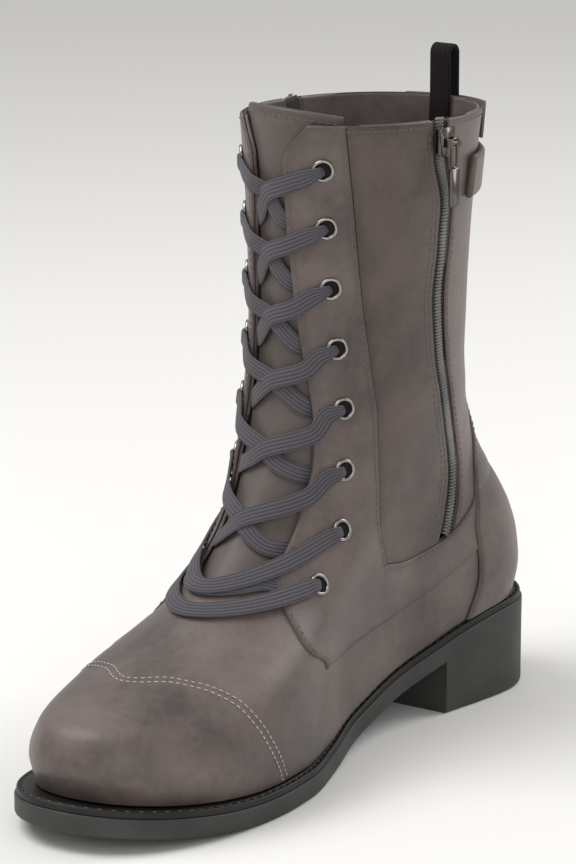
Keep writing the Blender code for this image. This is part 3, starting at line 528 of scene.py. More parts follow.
def solve_grid():
    """Round and height shares of each grid corner on the medial half."""
    column, row = np.meshgrid(np.arange(HALF + 1), np.arange(ROWS + 1), indexing="ij")
    strip = COLUMN_STRIP[column]
    height = row / ROWS
    for _ in range(14):
        lines = strip_lines(np.clip(height, 0, 1))
        low = np.take_along_axis(lines, strip[None], 0)[0]
        high = np.take_along_axis(lines, strip[None] + 1, 0)[0]
        around = low + (high - low) * COLUMN_SHARE[column]
        height = row_height(row, around)
    return around, height


HALF_ROUND, HALF_HEIGHT = solve_grid()
SIGNED = np.array([c if c < HALF else c - 2 * HALF for c in range(2 * HALF)])
GRID_ROUND = HALF_ROUND[np.abs(SIGNED)] * np.where(SIGNED < 0, -1, 1)[:, None]
GRID_HEIGHT = HALF_HEIGHT[np.abs(SIGNED)]
GRID_BASE = last(GRID_ROUND, GRID_HEIGHT)
GRID_NORMAL = outward(GRID_ROUND, GRID_HEIGHT)
GRID_RELIEF = relief(GRID_BASE)
CELL_HALF = np.where(SIGNED >= 0, SIGNED, -SIGNED - 1)
CELL_STRIP = np.array([STRIPS[COLUMN_STRIP[half + 1]][0] for half in CELL_HALF])
CELL_ZONE = np.array([ZONES[ROW_ZONE[row + 1]][0] for row in range(ROWS)])


def cells(strips, zones, side=0):
    """Mask of the grid's cells in some strips and zones, on one side or on both."""
    chosen = np.isin(CELL_STRIP, strips)[:, None] & np.isin(CELL_ZONE, zones)[None, :]
    if side:
        chosen &= (np.sign(SIGNED + 0.5) == side)[:, None]
    return chosen


# Meshes

def new_object(name, points, faces, marks=None):
    """Object from points and faces, whose faces take material slots from marks."""
    mesh = bpy.data.meshes.new(name)
    mesh.from_pydata([tuple(p) for p in points], [], faces)
    if marks is not None:
        mesh.polygons.foreach_set("material_index", marks)
    body = bmesh.new()
    body.from_mesh(mesh)
    bmesh.ops.recalc_face_normals(body, faces=body.faces)
    body.to_mesh(mesh)
    body.free()
    mesh.shade_smooth()
    thing = bpy.data.objects.new(name, mesh)
    bpy.context.scene.collection.objects.link(thing)
    return thing


def paint(thing, *materials):
    thing.data.materials.clear()
    for material in materials:
        thing.data.materials.append(material)


def dress(thing, materials, nodes=(), body="boot"):
    """Gives a piece its materials, its body and the solids that it stands for."""
    paint(thing, *materials)
    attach(thing, body)
    if nodes:
        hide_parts(*nodes)
    return thing


def sheath(name, base, normal, outer, inner, mask, wrap, edge_mm):
    """A wall over the masked cells of a grid, with its edge distance kept as an attribute."""
    columns = base.shape[0]
    index = {}
    points = []
    edges_mm = []

    def corner(c, r, layer):
        key = (c % columns if wrap else c, r, layer)
        if key not in index:
            c, r, layer = key
            offset = outer[c, r] if layer else inner[c, r]
            index[key] = len(points)
            points.append(base[c, r] + normal[c, r] * offset)
            edges_mm.append(edge_mm[c, r])
        return index[key]

    def filled(c, r):
        if wrap:
            c %= columns
        inside = 0 <= c < mask.shape[0] and 0 <= r < mask.shape[1]
        return inside and mask[c, r]

    faces = []
    marks = []
    beyond = ((0, -1), (1, 0), (0, 1), (-1, 0))
    for c, r in np.argwhere(mask):
        ring = [(c, r), (c + 1, r), (c + 1, r + 1), (c, r + 1)]
        faces.append([corner(*at, 1) for at in ring])
        faces.append([corner(*at, 0) for at in reversed(ring)])
        marks += [0, 1]
        for k, (dc, dr) in enumerate(beyond):
            if not filled(c + dc, r + dr):
                a, b = ring[k], ring[(k + 1) % 4]
                faces.append([corner(*b, 1), corner(*a, 1), corner(*a, 0), corner(*b, 0)])
                marks.append(0)
    thing = new_object(name, points, faces, marks)
    attribute = thing.data.attributes.new("edge_mm", "FLOAT", "POINT")
    attribute.data.foreach_set("value", edges_mm)
    return thing


def rim_distance(base, mask, wrap, foot_free=True):
    """Distance in metres of each grid corner from the mask's edge; the foot row may not count."""
    columns, rows = mask.shape
    empty = np.zeros(rows, bool)
    tree_points = []
    for c in range(base.shape[0]):
        left = mask[c - 1] if wrap or c > 0 else empty
        here = mask[c % columns] if wrap or c < columns else empty
        for r in range(base.shape[1]):
            below = sum(bool(r > 0 and line[r - 1]) for line in (left, here))
            above = sum(bool(r < rows and line[r]) for line in (left, here))
            count = 2 * above if r == 0 and not foot_free else below + above
            if 0 < count < 4:
                tree_points.append(base[c, r])
    tree = KDTree(len(tree_points))
    for k, at in enumerate(tree_points):
        tree.insert(at, k)
    tree.balance()
    flat = [tree.find(at)[2] for at in base.reshape(-1, 3)]
    return np.array(flat).reshape(base.shape[:2])


def panel(name, mask, lift, thick, roll, foot_free=True):
    """A leather panel on the upper's grid, with rolled edges of a radius."""
    distance = rim_distance(GRID_BASE, mask, True, foot_free)
    crown = np.sqrt(1 - (1 - np.clip(distance / roll, 0, 1)) ** 2)
    outer = lift + thick * (0.2 + 0.8 * crown) + GRID_RELIEF
    inner = lift + 0.02 * MM + GRID_RELIEF
    return sheath(name, GRID_BASE, GRID_NORMAL, outer, inner, mask, True, distance / MM)


def loft(name, sections, closed=False):
    """A skin through sections of equal count, with flat ends or joined into a ring."""
    sections = np.array(sections)
    turns, count = sections.shape[:2]
    faces = []
    for k in range(turns if closed else turns - 1):
        for i in range(count):
            j = (i + 1) % count
            a, b = k * count, (k + 1) % turns * count
            faces.append((a + i, a + j, b + j, b + i))
    if not closed:
        faces.append(tuple(range(count))[::-1])
        faces.append(tuple(range((turns - 1) * count, turns * count)))
    return new_object(name, sections.reshape(-1, 3), faces)


def rounded_section(width, thick, corner, steps=3):
    """Outline of a flat strip's section: a rectangle with rounded corners."""
    points = []
    for quarter, (sx, sy) in enumerate(((1, 1), (-1, 1), (-1, -1), (1, -1))):
        for k in range(steps + 1):
            angle = pi / 2 * (quarter + k / steps)
            u = sx * (width / 2 - corner) + corner * cos(angle)
            v = sy * (thick / 2 - corner) + corner * sin(angle)
            points.append((u, v))
    return np.array(points)


def strip(name, path, across, rise, widths, thicks):
    """A soft flat strip along a path, with UVs in millimetres across and along it."""
    sections = []
    for at, side, up, width, thick in zip(path, across, rise, widths, thicks):
        shape = rounded_section(width, thick, min(thick, width) * 0.42)
        sections.append([at + side * u + up * v for u, v in shape])
    thing = loft(name, sections)
    run = np.concatenate([[0], np.cumsum(np.linalg.norm(np.diff(path, axis=0), axis=1))]) / MM
    shape = rounded_section(1.0, 0.2, 0.08)
    across_of = np.tile(shape[:, 0], len(path))
    layer = thing.data.uv_layers.new(name="run")
    count = len(shape)
    for loop in thing.data.loops:
        vertex = loop.vertex_index
        layer.data[loop.index].uv = (across_of[vertex] + 0.5, run[vertex // count])
    return thing


def join(name, things):
    """Joins finished pieces into one object."""
    for thing in bpy.context.selected_objects:
        thing.select_set(False)
    for thing in things:
        thing.select_set(True)
    bpy.context.view_layer.objects.active = things[0]
    bpy.ops.object.join()
    things[0].name = name
    things[0].data.name = name
    return things[0]


def place(thing, matrix):
    """Moves a mesh into place, with its object left at the origin."""
    thing.data.transform(matrix)
    return thing


def triple(vector):
    return Vector(tuple(float(v) for v in vector))


def stand(around, height, offset):
    """Matrix whose Z is the upper's outward normal at a place and whose Y points up the leather."""
    normal = triple(outward(around, height))
    rise = triple(last(around, height) - last(around, height - 0.01)).normalized()
    across = rise.cross(normal).normalized()
    rise = normal.cross(across)
    turn = Matrix((across, rise, normal)).transposed().to_4x4()
    return Matrix.Translation(triple(skin(around, height, np.array(offset)))) @ turn


# Node trees

def add(tree, kind, settings=None, **links):
    """Adds a node with its settings; a link is a socket, or else a constant for that input."""
    node = tree.nodes.new(kind)
    for key, value in (settings or {}).items():
        setattr(node, key, value)
    for key, value in links.items():
        numbered = key.startswith("in") and key[2:].isdigit()
        socket = node.inputs[int(key[2:]) if numbered else key.replace("_", " ")]
        if isinstance(value, bpy.types.NodeSocket):
            tree.links.new(value, socket)
        else:
            socket.default_value = value
    return node


def beads_tree():
    """Geometry Nodes: small rounded beads laid end to end along a path, each on the leather's normal.

    The path's points carry the leather's normal. Stitches and zip coils are made with it.
    """
    tree = bpy.data.node_groups.get("Beads along a path")
    if tree:
        return tree
    tree = bpy.data.node_groups.new("Beads along a path", "GeometryNodeTree")
    face = tree.interface
    face.new_socket("Geometry", in_out="INPUT", socket_type="NodeSocketGeometry")
    for label, default in (("Pitch", 3 * MM), ("Length", 2 * MM), ("Width", 0.6 * MM), ("Height", 0.5 * MM)):
        socket = face.new_socket(label, in_out="INPUT", socket_type="NodeSocketFloat")
        socket.subtype = "DISTANCE"
        socket.default_value = default
    face.new_socket("Material", in_out="INPUT", socket_type="NodeSocketMaterial")
    face.new_socket("Geometry", in_out="OUTPUT", socket_type="NodeSocketGeometry")
    given = tree.nodes.new("NodeGroupInput").outputs
    curve = add(tree, "GeometryNodeMeshToCurve", in0=given["Geometry"])
    spaced = add(tree, "GeometryNodeResampleCurve", {"mode": "LENGTH"}, Curve=curve.outputs[0],
                 Length=given["Pitch"])
    bead = add(tree, "GeometryNodeMeshIcoSphere", Radius=0.5, Subdivisions=2)
    size = add(tree, "ShaderNodeCombineXYZ", X=given["Length"], Y=given["Width"], Z=given["Height"])
    shaped = add(tree, "GeometryNodeTransform", Geometry=bead.outputs[0], Scale=size.outputs[0])
    tangent = tree.nodes.new("GeometryNodeInputTangent")
    normal = add(tree, "GeometryNodeInputNamedAttribute", {"data_type": "FLOAT_VECTOR"},
                 Name="leather_normal")
    along = add(tree, "FunctionNodeAlignRotationToVector", {"axis": "X"}, Vector=tangent.outputs[0])
    turn = add(tree, "FunctionNodeAlignRotationToVector", {"axis": "Z", "pivot_axis": "X"},
               Rotation=along.outputs[0], Vector=normal.outputs[0])
    spread = add(tree, "GeometryNodeInstanceOnPoints", Points=spaced.outputs[0], Instance=shaped.outputs[0],
                 Rotation=turn.outputs[0])
    real = add(tree, "GeometryNodeRealizeInstances", in0=spread.outputs[0])
    smooth = add(tree, "GeometryNodeSetShadeSmooth", in0=real.outputs[0])
    painted = add(tree, "GeometryNodeSetMaterial", Geometry=smooth.outputs[0], Material=given["Material"])
    out = tree.nodes.new("NodeGroupOutput")
    tree.links.new(painted.outputs[0], out.inputs[0])
    return tree


def beads(name, paths, pitch, size, material):
    """Beads along paths of points and normals, made a plain mesh."""
    points = np.concatenate([path for path, _ in paths])
    normals = np.concatenate([normal for _, normal in paths])
    edges = []
    start = 0
    for path, _ in paths:
        edges += [(start + k, start + k + 1) for k in range(len(path) - 1)]
        start += len(path)
    mesh = bpy.data.meshes.new(name + "_paths")
    mesh.from_pydata([tuple(p) for p in points], edges, [])
    attribute = mesh.attributes.new("leather_normal", "FLOAT_VECTOR", "POINT")
    attribute.data.foreach_set("vector", normals.astype(np.float32).ravel())
    carrier = bpy.data.objects.new(name + "_paths", mesh)
    bpy.context.scene.collection.objects.link(carrier)
    modifier = carrier.modifiers.new("beads", "NODES")
    modifier.node_group = beads_tree()
    values = {"Pitch": pitch, "Length": size[0], "Width": size[1], "Height": size[2], "Material": material}
    for item in modifier.node_group.interface.items_tree:
        if item.in_out == "INPUT" and item.name in values:
            modifier[item.identifier] = values[item.name]
    bpy.context.view_layer.update()
    evaluated = carrier.evaluated_get(bpy.context.evaluated_depsgraph_get())
    plain = bpy.data.meshes.new_from_object(evaluated)
    bpy.data.objects.remove(carrier)
    thing = bpy.data.objects.new(name, plain)
    bpy.context.scene.collection.objects.link(thing)
    return thing


# Materials

def surface(name, metallic=0.0, roughness=0.5, **sockets):
    """A named material with its shader's plain sockets set."""
    material = bpy.data.materials.new(name)
    material.use_nodes = True
    shader = material.node_tree.nodes["Principled BSDF"]
    shader.inputs["Metallic"].default_value = metallic
    shader.inputs["Roughness"].default_value = roughness
    for label, value in sockets.items():
        shader.inputs[label.replace("_", " ")].default_value = value
    return material, material.node_tree, shader


def object_place(tree, scale_mm):
    """Object coordinates counted in units of a real size."""
    where = tree.nodes.new("ShaderNodeTexCoord")
    size = (1 / (scale_mm * MM),) * 3
    return add(tree, "ShaderNodeVectorMath", {"operation": "MULTIPLY"}, in0=where.outputs["Object"],
               in1=size).outputs[0]


def ramp(tree, factor, stops):
    node = add(tree, "ShaderNodeValToRGB", Fac=factor)
    while len(node.color_ramp.elements) < len(stops):
        node.color_ramp.elements.new(0.5)
    for element, (at, colour) in zip(node.color_ramp.elements, stops):
        element.position = at
        element.color = (*colour, 1.0)
    return node.outputs["Color"]


def bump(tree, shader, height, strength, depth_mm, under=None):
    links = {"Height": height, "Strength": strength, "Distance": depth_mm * MM}
    if under:
        links["Normal"] = under
    node = add(tree, "ShaderNodeBump", **links)
    tree.links.new(node.outputs["Normal"], shader.inputs["Normal"])
    return node.outputs["Normal"]


def leather(name, dark, middle, light, roughness=0.46, grain=0.32):
    """Coated synthetic leather, embossed with a fine grain and rubbed with a darker burnish.

    The coat gives a broad satin sheen; the burnish gives clouds 20 to 40 mm across. Near each piece's edge
    the colour is darkened as painted shade along the seams and rolled edges, most at the edge and gone 4.5
    mm in.
    """
    material, tree, shader = surface(name, roughness=roughness, Specular_IOR_Level=0.42,
                                     Coat_Weight=0.2, Coat_Roughness=0.34)
    clouds = add(tree, "ShaderNodeTexNoise", Vector=object_place(tree, 34), Scale=1.0, Detail=4.0,
                 Roughness=0.55)
    specks = add(tree, "ShaderNodeTexNoise", Vector=object_place(tree, 3.2), Scale=1.0, Detail=3.0)
    blend = add(tree, "ShaderNodeMath", {"operation": "MULTIPLY_ADD"}, in0=specks.outputs[0], in1=0.22,
                in2=-0.11)
    cloud = add(tree, "ShaderNodeMath", {"operation": "ADD"}, in0=clouds.outputs[0], in1=blend.outputs[0])
    colour = ramp(tree, cloud.outputs[0], ((0.32, dark), (0.52, middle), (0.72, light)))
    # Painted shade: the colour is multiplied by a grey of about 0.7 at each piece's edge, fading out over
    # 4.5 mm.
    edge = add(tree, "ShaderNodeAttribute", {"attribute_name": "edge_mm"})
    near = add(tree, "ShaderNodeMapRange", Value=edge.outputs["Fac"], From_Max=4.5, To_Min=1.0, To_Max=0.0)
    shade = add(tree, "ShaderNodeMix", {"data_type": "RGBA", "blend_type": "MULTIPLY"},
                Factor=near.outputs[0])
    tree.links.new(colour, shade.inputs["A"])
    shade.inputs["B"].default_value = (0.72, 0.70, 0.69, 1)
    tree.links.new(shade.outputs["Result"], shader.inputs["Base Color"])
    rough = add(tree, "ShaderNodeMapRange", Value=cloud.outputs[0], From_Min=0.3, From_Max=0.7,
                To_Min=roughness - 0.06, To_Max=roughness + 0.08)
    tree.links.new(rough.outputs[0], shader.inputs["Roughness"])
    pores = add(tree, "ShaderNodeTexVoronoi", {"feature": "DISTANCE_TO_EDGE"},
                Vector=object_place(tree, 1.1), Scale=1.0, Randomness=1.0)
    cell = add(tree, "ShaderNodeMapRange", Value=pores.outputs["Distance"], From_Max=0.25)
    fine = bump(tree, shader, cell.outputs[0], grain, 0.10)
    wrinkle = add(tree, "ShaderNodeTexNoise", Vector=object_place(tree, 7), Scale=1.0, Detail=5.0,
                  Distortion=0.8)
    bump(tree, shader, wrinkle.outputs[0], 0.35, 0.45, fine)
    return material


def lining_cloth(name, colour, dark):
    """Brushed knit lining glued to the leather's inside: matte, with a fine rib."""
    material, tree, shader = surface(name, roughness=0.92, Specular_IOR_Level=0.2)
    nap = add(tree, "ShaderNodeTexNoise", Vector=object_place(tree, 0.8), Scale=1.0, Detail=3.0)
    tree.links.new(ramp(tree, nap.outputs[0], ((0.3, dark), (0.7, colour))), shader.inputs["Base Color"])
    bump(tree, shader, nap.outputs[0], 0.5, 0.25)
    return material


def moulded_rubber(name, dark, light, roughness):
    """Moulded thermoplastic rubber with a fine spark-eroded texture: even, matte and charcoal; the same
    maker gives the zip coil and the painted shadow in the eyelet bores.
    """
    material, tree, shader = surface(name, roughness=roughness, Specular_IOR_Level=0.4)
    clouds = add(tree, "ShaderNodeTexNoise", Vector=object_place(tree, 18), Scale=1.0, Detail=4.0)
    tree.links.new(ramp(tree, clouds.outputs[0], ((0.35, dark), (0.65, light))), shader.inputs["Base Color"])
    grit = add(tree, "ShaderNodeTexNoise", Vector=object_place(tree, 0.5), Scale=1.0, Detail=2.0)
    bump(tree, shader, grit.outputs[0], 0.25, 0.08)
    return material


def plated_metal(name, colour, roughness):
    """Nickel plate on brass: bright, slightly warm, with fine handling marks."""
    material, tree, shader = surface(name, metallic=1.0, roughness=roughness)
    marks = add(tree, "ShaderNodeTexNoise", Vector=object_place(tree, 0.9), Scale=1.0, Detail=4.0)
    dull = tuple(v * 0.82 for v in colour)
    tree.links.new(ramp(tree, marks.outputs[0], ((0.35, dull), (0.6, colour))), shader.inputs["Base Color"])
    rough = add(tree, "ShaderNodeMapRange", Value=marks.outputs[0], To_Min=roughness - 0.06,
                To_Max=roughness + 0.1)
    tree.links.new(rough.outputs[0], shader.inputs["Roughness"])
    bump(tree, shader, marks.outputs[0], 0.1, 0.05)
    return material


def braid(name, dark, light, ribs):
    """Flat tubular braid: ribs along the lace and slanted picks across them, read from its UVs."""
    material, tree, shader = surface(name, roughness=0.88, Specular_IOR_Level=0.25, Sheen_Weight=0.1,
                                     Sheen_Roughness=0.5)
    uv = add(tree, "ShaderNodeUVMap", {"uv_map": "run"})
    parts = add(tree, "ShaderNodeSeparateXYZ", in0=uv.outputs[0])
    across = add(tree, "ShaderNodeMath", {"operation": "MULTIPLY"}, in0=parts.outputs[0], in1=ribs * 2 * pi)
    rib = add(tree, "ShaderNodeMath", {"operation": "COSINE"}, in0=across.outputs[0])
    slant = add(tree, "ShaderNodeMath", {"operation": "MULTIPLY_ADD"}, in0=parts.outputs[1],
                in1=2 * pi / 1.3,
                in2=across.outputs[0])
    pick = add(tree, "ShaderNodeMath", {"operation": "SINE"}, in0=slant.outputs[0])
    mixed = add(tree, "ShaderNodeMath", {"operation": "MULTIPLY_ADD"}, in0=pick.outputs[0], in1=0.45,
                in2=rib.outputs[0])
    level = add(tree, "ShaderNodeMapRange", Value=mixed.outputs[0], From_Min=-1.3, From_Max=1.3)
    tree.links.new(ramp(tree, level.outputs[0], ((0.1, dark), (0.75, light))), shader.inputs["Base Color"])
    bump(tree, shader, level.outputs[0], 0.7, 0.25)
    return material


def woven(name, dark, light, pitch_mm):
    """Plain-woven tape or webbing: a small over-and-under check of warp and weft."""
    material, tree, shader = surface(name, roughness=0.9, Specular_IOR_Level=0.25)
    grid = add(tree, "ShaderNodeTexChecker", Vector=object_place(tree, pitch_mm), Scale=1.0)
    grid.inputs["Color1"].default_value = (*dark, 1)
    grid.inputs["Color2"].default_value = (*light, 1)
    tree.links.new(grid.outputs["Color"], shader.inputs["Base Color"])
    bump(tree, shader, grid.outputs["Fac"], 0.5, 0.15)
    return material


def thread(name, colour):
    """Bonded polyester sewing thread: slightly glossy, with a fine twist."""
    material, tree, shader = surface(name, roughness=0.6, Specular_IOR_Level=0.4)
    twist = add(tree, "ShaderNodeTexNoise", Vector=object_place(tree, 0.35), Scale=1.0, Detail=2.0)
    dull = tuple(v * 0.7 for v in colour)
    tree.links.new(ramp(tree, twist.outputs[0], ((0.3, dull), (0.65, colour))), shader.inputs["Base Color"])
    return material


def plain_floor(name, colour):
    """Matte studio paper, with the faintest tooth."""
    material, tree, shader = surface(name, roughness=0.9, Specular_IOR_Level=0.1)
    tooth = add(tree, "ShaderNodeTexNoise", Vector=object_place(tree, 2.0), Scale=1.0)
    near = tuple(v * 0.985 for v in colour)
    tree.links.new(ramp(tree, tooth.outputs[0], ((0.3, near), (0.7, colour))), shader.inputs["Base Color"])
    return material


FINISHES = {}


def finish(name):
    """The material of a name, made when it is first asked for."""
    if name not in FINISHES:
        colours = bpy.context.scene.boot_colours
        base = tuple(colours.upper)
        makers = {
            "upper": lambda: leather("Burnished taupe leather", tuple(v * 0.56 for v in base), base,
                                     tuple(v * 1.38 for v in base)),
            "panel": lambda: leather("Burnished side panel leather", tuple(v * 0.58 for v in colours.panel),
                                     tuple(colours.panel), tuple(v * 1.3 for v in colours.panel)),
            "tongue": lambda: leather("Soft tongue leather", tuple(v * 0.7 for v in colours.tongue),
                                      tuple(colours.tongue), tuple(v * 1.2 for v in colours.tongue), 0.6),
            "strap": lambda: leather("Strap leather", tuple(v * 0.8 for v in colours.strap),
                                     tuple(colours.strap),
                                     tuple(v * 1.2 for v in colours.strap), 0.5),
            "lining": lambda: lining_cloth("Brushed lining", to_linear("#3A322F"), to_linear("#2A2422")),
            "insole": lambda: lining_cloth("Insole cloth", to_linear("#47403B"), to_linear("#37312D")),
            "sole": lambda: moulded_rubber("Moulded charcoal rubber", tuple(v * 0.8 for v in colours.sole),
                                           tuple(v * 1.15 for v in colours.sole), 0.58),
            "welt": lambda: moulded_rubber("Black welt rubber", to_linear("#0E0D0C"),
                                           to_linear("#1C1A18"), 0.5),
            "metal": lambda: plated_metal("Nickel plate", to_linear("#A8A49E"), 0.26),
            # Painted shadow: a near-black disc that fills each eyelet's bore.
            "bore_shadow": lambda: moulded_rubber("Shadowed eyelet bore", to_linear("#0B0A0A"),
                                           to_linear("#151312"), 0.9),
            "gunmetal": lambda: plated_metal("Dark nickel plate", to_linear("#6A645F"), 0.3),
            "lace": lambda: braid("Flat braided lace", tuple(v * 0.55 for v in colours.lace),
                                  tuple(v * 1.15 for v in colours.lace), 5),
            "tape": lambda: woven("Woven zip tape", to_linear("#3B3836"), to_linear("#4E4A48"), 0.5),
            "coil": lambda: moulded_rubber("Nylon zip coil", to_linear("#5F5E5E"), to_linear("#7E7C7B"),
                                           0.4),
            "webbing": lambda: woven("Black webbing", to_linear("#12100F"), to_linear("#231F1D"), 0.9),
            "pale_thread": lambda: thread("Pale sewing thread", to_linear("#C2B8AE")),
            "dark_thread": lambda: thread("Taupe sewing thread", to_linear("#6F6560")),
            "welt_thread": lambda: thread("Black welt thread", to_linear("#1C1A19")),
            "floor": lambda: plain_floor("Studio paper", to_linear("#F2F1EF")),
        }
        FINISHES[name] = makers[name]()
    return FINISHES[name]


# Lines of stitches on the leather

def line_up(column, inset, low, high, side, lift):
    """Path beside an upright guide line: inset in metres towards the back, between two heights."""
    heights = np.linspace(low, high, 90)
    around = strip_lines(heights)[column]
    around = side * (around + inset * per_metre(around, heights))
    return skin(around, heights, lift), outward(around, heights)


def line_round(column, inset, start, end, side, lift):
    """Path beside a guide line that runs round: inset in metres upwards, between two round shares."""
    rounds = np.linspace(start, end, 60)
    heights = table_curve(LEVELS, column, rounds)
    heights = heights + inset * rise_per_metre(rounds, heights)
    return skin(side * rounds, heights, lift), outward(side * rounds, heights)


def collar_line(inset, start, end, side, lift):
    """Path below the collar's edge."""
    rounds = np.linspace(start, end, 60)
    heights = 1 - inset * rise_per_metre(rounds, np.full(60, 0.98))
    return skin(side * rounds, heights, lift), outward(side * rounds, heights)


def cap_line(inset):
    """Path along the toe cap's seam, from the lateral side over the toe to the medial side."""
    seam = np.array(CAP_SEAM)
    both = np.concatenate([seam[::-1] * (-1, 1), seam[1:]])
    knots = np.linspace(0, 1, len(both))
    at = np.linspace(0, 1, 240)
    rounds = monotone(knots, both[:, 0], at)
    heights = monotone(knots, both[:, 1], at)
    path = skin(rounds, heights, 0.1 * MM)
    normal = outward(rounds, heights)
    run = unit(np.gradient(path, axis=0))
    return path + np.cross(normal, run) * inset, normal


# Property groups

class BootSizes(bpy.types.PropertyGroup):
    """Sizes of the boot's small repeated details."""
    stitch_pitch: bpy.props.FloatProperty(
        name="Stitch pitch", description="Distance from one stitch to the next", default=2.6 * MM,
        unit="LENGTH")
    stitch_length: bpy.props.FloatProperty(
        name="Stitch length", description="Visible length of a stitch", default=1.9 * MM, unit="LENGTH")
    thread_width: bpy.props.FloatProperty(
        name="Thread width", description="Width of the sewing thread", default=0.55 * MM, unit="LENGTH")
    lace_width: bpy.props.FloatProperty(
        name="Lace width", description="Width of the flat lace", default=LACE_WIDTH, unit="LENGTH")
    coil_pitch: bpy.props.FloatProperty(
        name="Coil pitch", description="Distance between turns of a zip coil", default=1.25 * MM,
        unit="LENGTH")


class BootColours(bpy.types.PropertyGroup):
    """Colours of the boot's main materials."""
    upper: bpy.props.FloatVectorProperty(
        name="Upper", description="Middle colour of the upper's leather", subtype="COLOR",
        default=to_linear("#635753"))
    panel: bpy.props.FloatVectorProperty(
        name="Side panel", description="Middle colour of the side panels", subtype="COLOR",
        default=to_linear("#554843"))
    tongue: bpy.props.FloatVectorProperty(
        name="Tongue", description="Middle colour of the tongue", subtype="COLOR",
        default=to_linear("#5A514D"))
    strap: bpy.props.FloatVectorProperty(
        name="Strap", description="Middle colour of the back strap and tab", subtype="COLOR",
        default=to_linear("#766C65"))
    sole: bpy.props.FloatVectorProperty(
        name="Sole", description="Colour of the moulded sole", subtype="COLOR", default=to_linear("#3A3A38"))
    lace: bpy.props.FloatVectorProperty(
        name="Lace", description="Colour of the laces", subtype="COLOR", default=to_linear("#57545A"))


# Pieces of the upper

class BOOT_OT_shell(bpy.types.Operator):
    """The upper's one wall: vamp, toe and the layer under the overlays, lined inside"""
    bl_idname = "boot.shell"
    bl_label = "Upper shell"

    def execute(self, context):
        mask = ~cells(("vamp", "zip"), ("shaft",))
        distance = rim_distance(GRID_BASE, mask, True, foot_free=False)
        crown = np.sqrt(1 - (1 - np.clip(distance / SHELL_ROLL, 0, 1)) ** 2)
        outer = -WALL + WALL * (0.3 + 0.7 * crown) + GRID_RELIEF
        inner = -WALL + 0.6 * MM * (1 - crown) + GRID_RELIEF * 0.5
        # The edge distance is lengthened by 1.6 mm, so the leather's painted edge shade is weaker on the
        # shell than on the overlays.
        shell = sheath("upper_shell", GRID_BASE, GRID_NORMAL, outer, inner, mask, True, distance / MM + 1.6)
        dress(shell, (finish("upper"), finish("lining")), ("upper",))
        return {"FINISHED"}


class BOOT_OT_overlays(bpy.types.Operator):
    """Quarters with their facings, side panels, rear panels and the backstay"""
    bl_idname = "boot.overlays"
    bl_label = "Leather overlays"

    def execute(self, context):
        upper = (finish("upper"), finish("lining"))
        for hand, side in (("medial", 1), ("lateral", -1)):
            mask = cells(("facing",), ("band", "shaft"), side) | cells(("panel", "zip", "rear"),
                                                                       ("band",), side)
            dress(panel("quarter_" + hand, mask, 0.0, STEP, QUARTER_ROLL), upper)
            mask = cells(("panel",), ("shaft",), side)
            side_panel = panel("side_panel_" + hand, mask, 0.0, PANEL_THICK, PANEL_ROLL)
            dress(side_panel, (finish("panel"), finish("lining")))
            mask = cells(("rear",), ("shaft",), side)
            dress(panel("rear_panel_" + hand, mask, 0.0, PANEL_THICK, PANEL_ROLL), upper)
        mask = cells(("counter",), ("lower", "band", "shaft"))
        backstay = panel("backstay_leather", mask, GAP, OVERLAY_THICK, BACKSTAY_ROLL, foot_free=False)
        dress(backstay, upper, ("backstay",))
        return {"FINISHED"}


class BOOT_OT_tongue(bpy.types.Operator):
    """Tongue behind the throat, with a soft crown and a turned top edge"""
    bl_idname = "boot.tongue"
    bl_label = "Tongue"

    def execute(self, context):
        columns, rows = 56, 120
        u = np.linspace(-1, 1, columns + 1)[:, None] * np.ones(rows + 1)
        v = clustered(rows)[None, :] * np.ones((columns + 1, 1))
        foot = table_curve(LEVELS, 2, np.abs(u) * 0.45)
        quarter = table_curve(LEVELS, 1, np.abs(u) * 0.45)
        low = foot - (foot - quarter) / 4
        high = 1.0 + TONGUE_RISE / COLLAR_HEIGHT * (1 - 0.5 * u * u)
        height = low + (high - low) * v
        around = u * strip_lines(np.clip(height, 0, 1))[2]
        base = last(around, height)
        normal = outward(around, height)
        mask = np.ones((columns, rows), bool)
        distance = rim_distance(base, mask, False)
        crown = np.sqrt(1 - (1 - np.clip(distance / TONGUE_ROLL, 0, 1)) ** 2)
        puckers = PUCKER_DEPTH * np.sin(height * 95 + 2.0 * np.cos(around * 9)) * np.cos(u * pi / 2)
        outer = -(WALL + GAP) - TONGUE_THICK * 0.4 * (1 - crown) + np.minimum(puckers, 0.0)
        inner = -(WALL + GAP) - TONGUE_THICK * (1 - 0.3 * (1 - crown))
        tongue = sheath("tongue_leather", base, normal, outer, inner, mask, False, distance / MM)
        dress(tongue, (finish("tongue"), finish("lining")), ("tongue",))
        return {"FINISHED"}


def back_band(name, reach, low, high, lift, thick, columns):
    """A band across the back seam with rounded edges, on the upper's own surface."""
    middle = (low + high) / 2
    tall = (high - low) * COLLAR_HEIGHT
    shape = rounded_section(tall, thick, min(thick * 0.45, 0.9 * MM), steps=4)
    sections = []
    for k in range(columns + 1):
        around = reach + (2 - 2 * reach) * k / columns
        foot = lift(abs((around + 1) % 2 - 1))
        heights = middle + shape[:, 0] / COLLAR_HEIGHT
        offsets = foot + thick / 2 + shape[:, 1]
        rounds = np.full(len(shape), around)
        base = last(rounds, heights)
        sections.append(base + outward(rounds, heights) * offsets[:, None])
    return loft(name, sections)


def loop_stack():
    """Offset of the pull loop's outer leg from the upper's outer face."""
    return GAP + OVERLAY_THICK + LACE_GAP


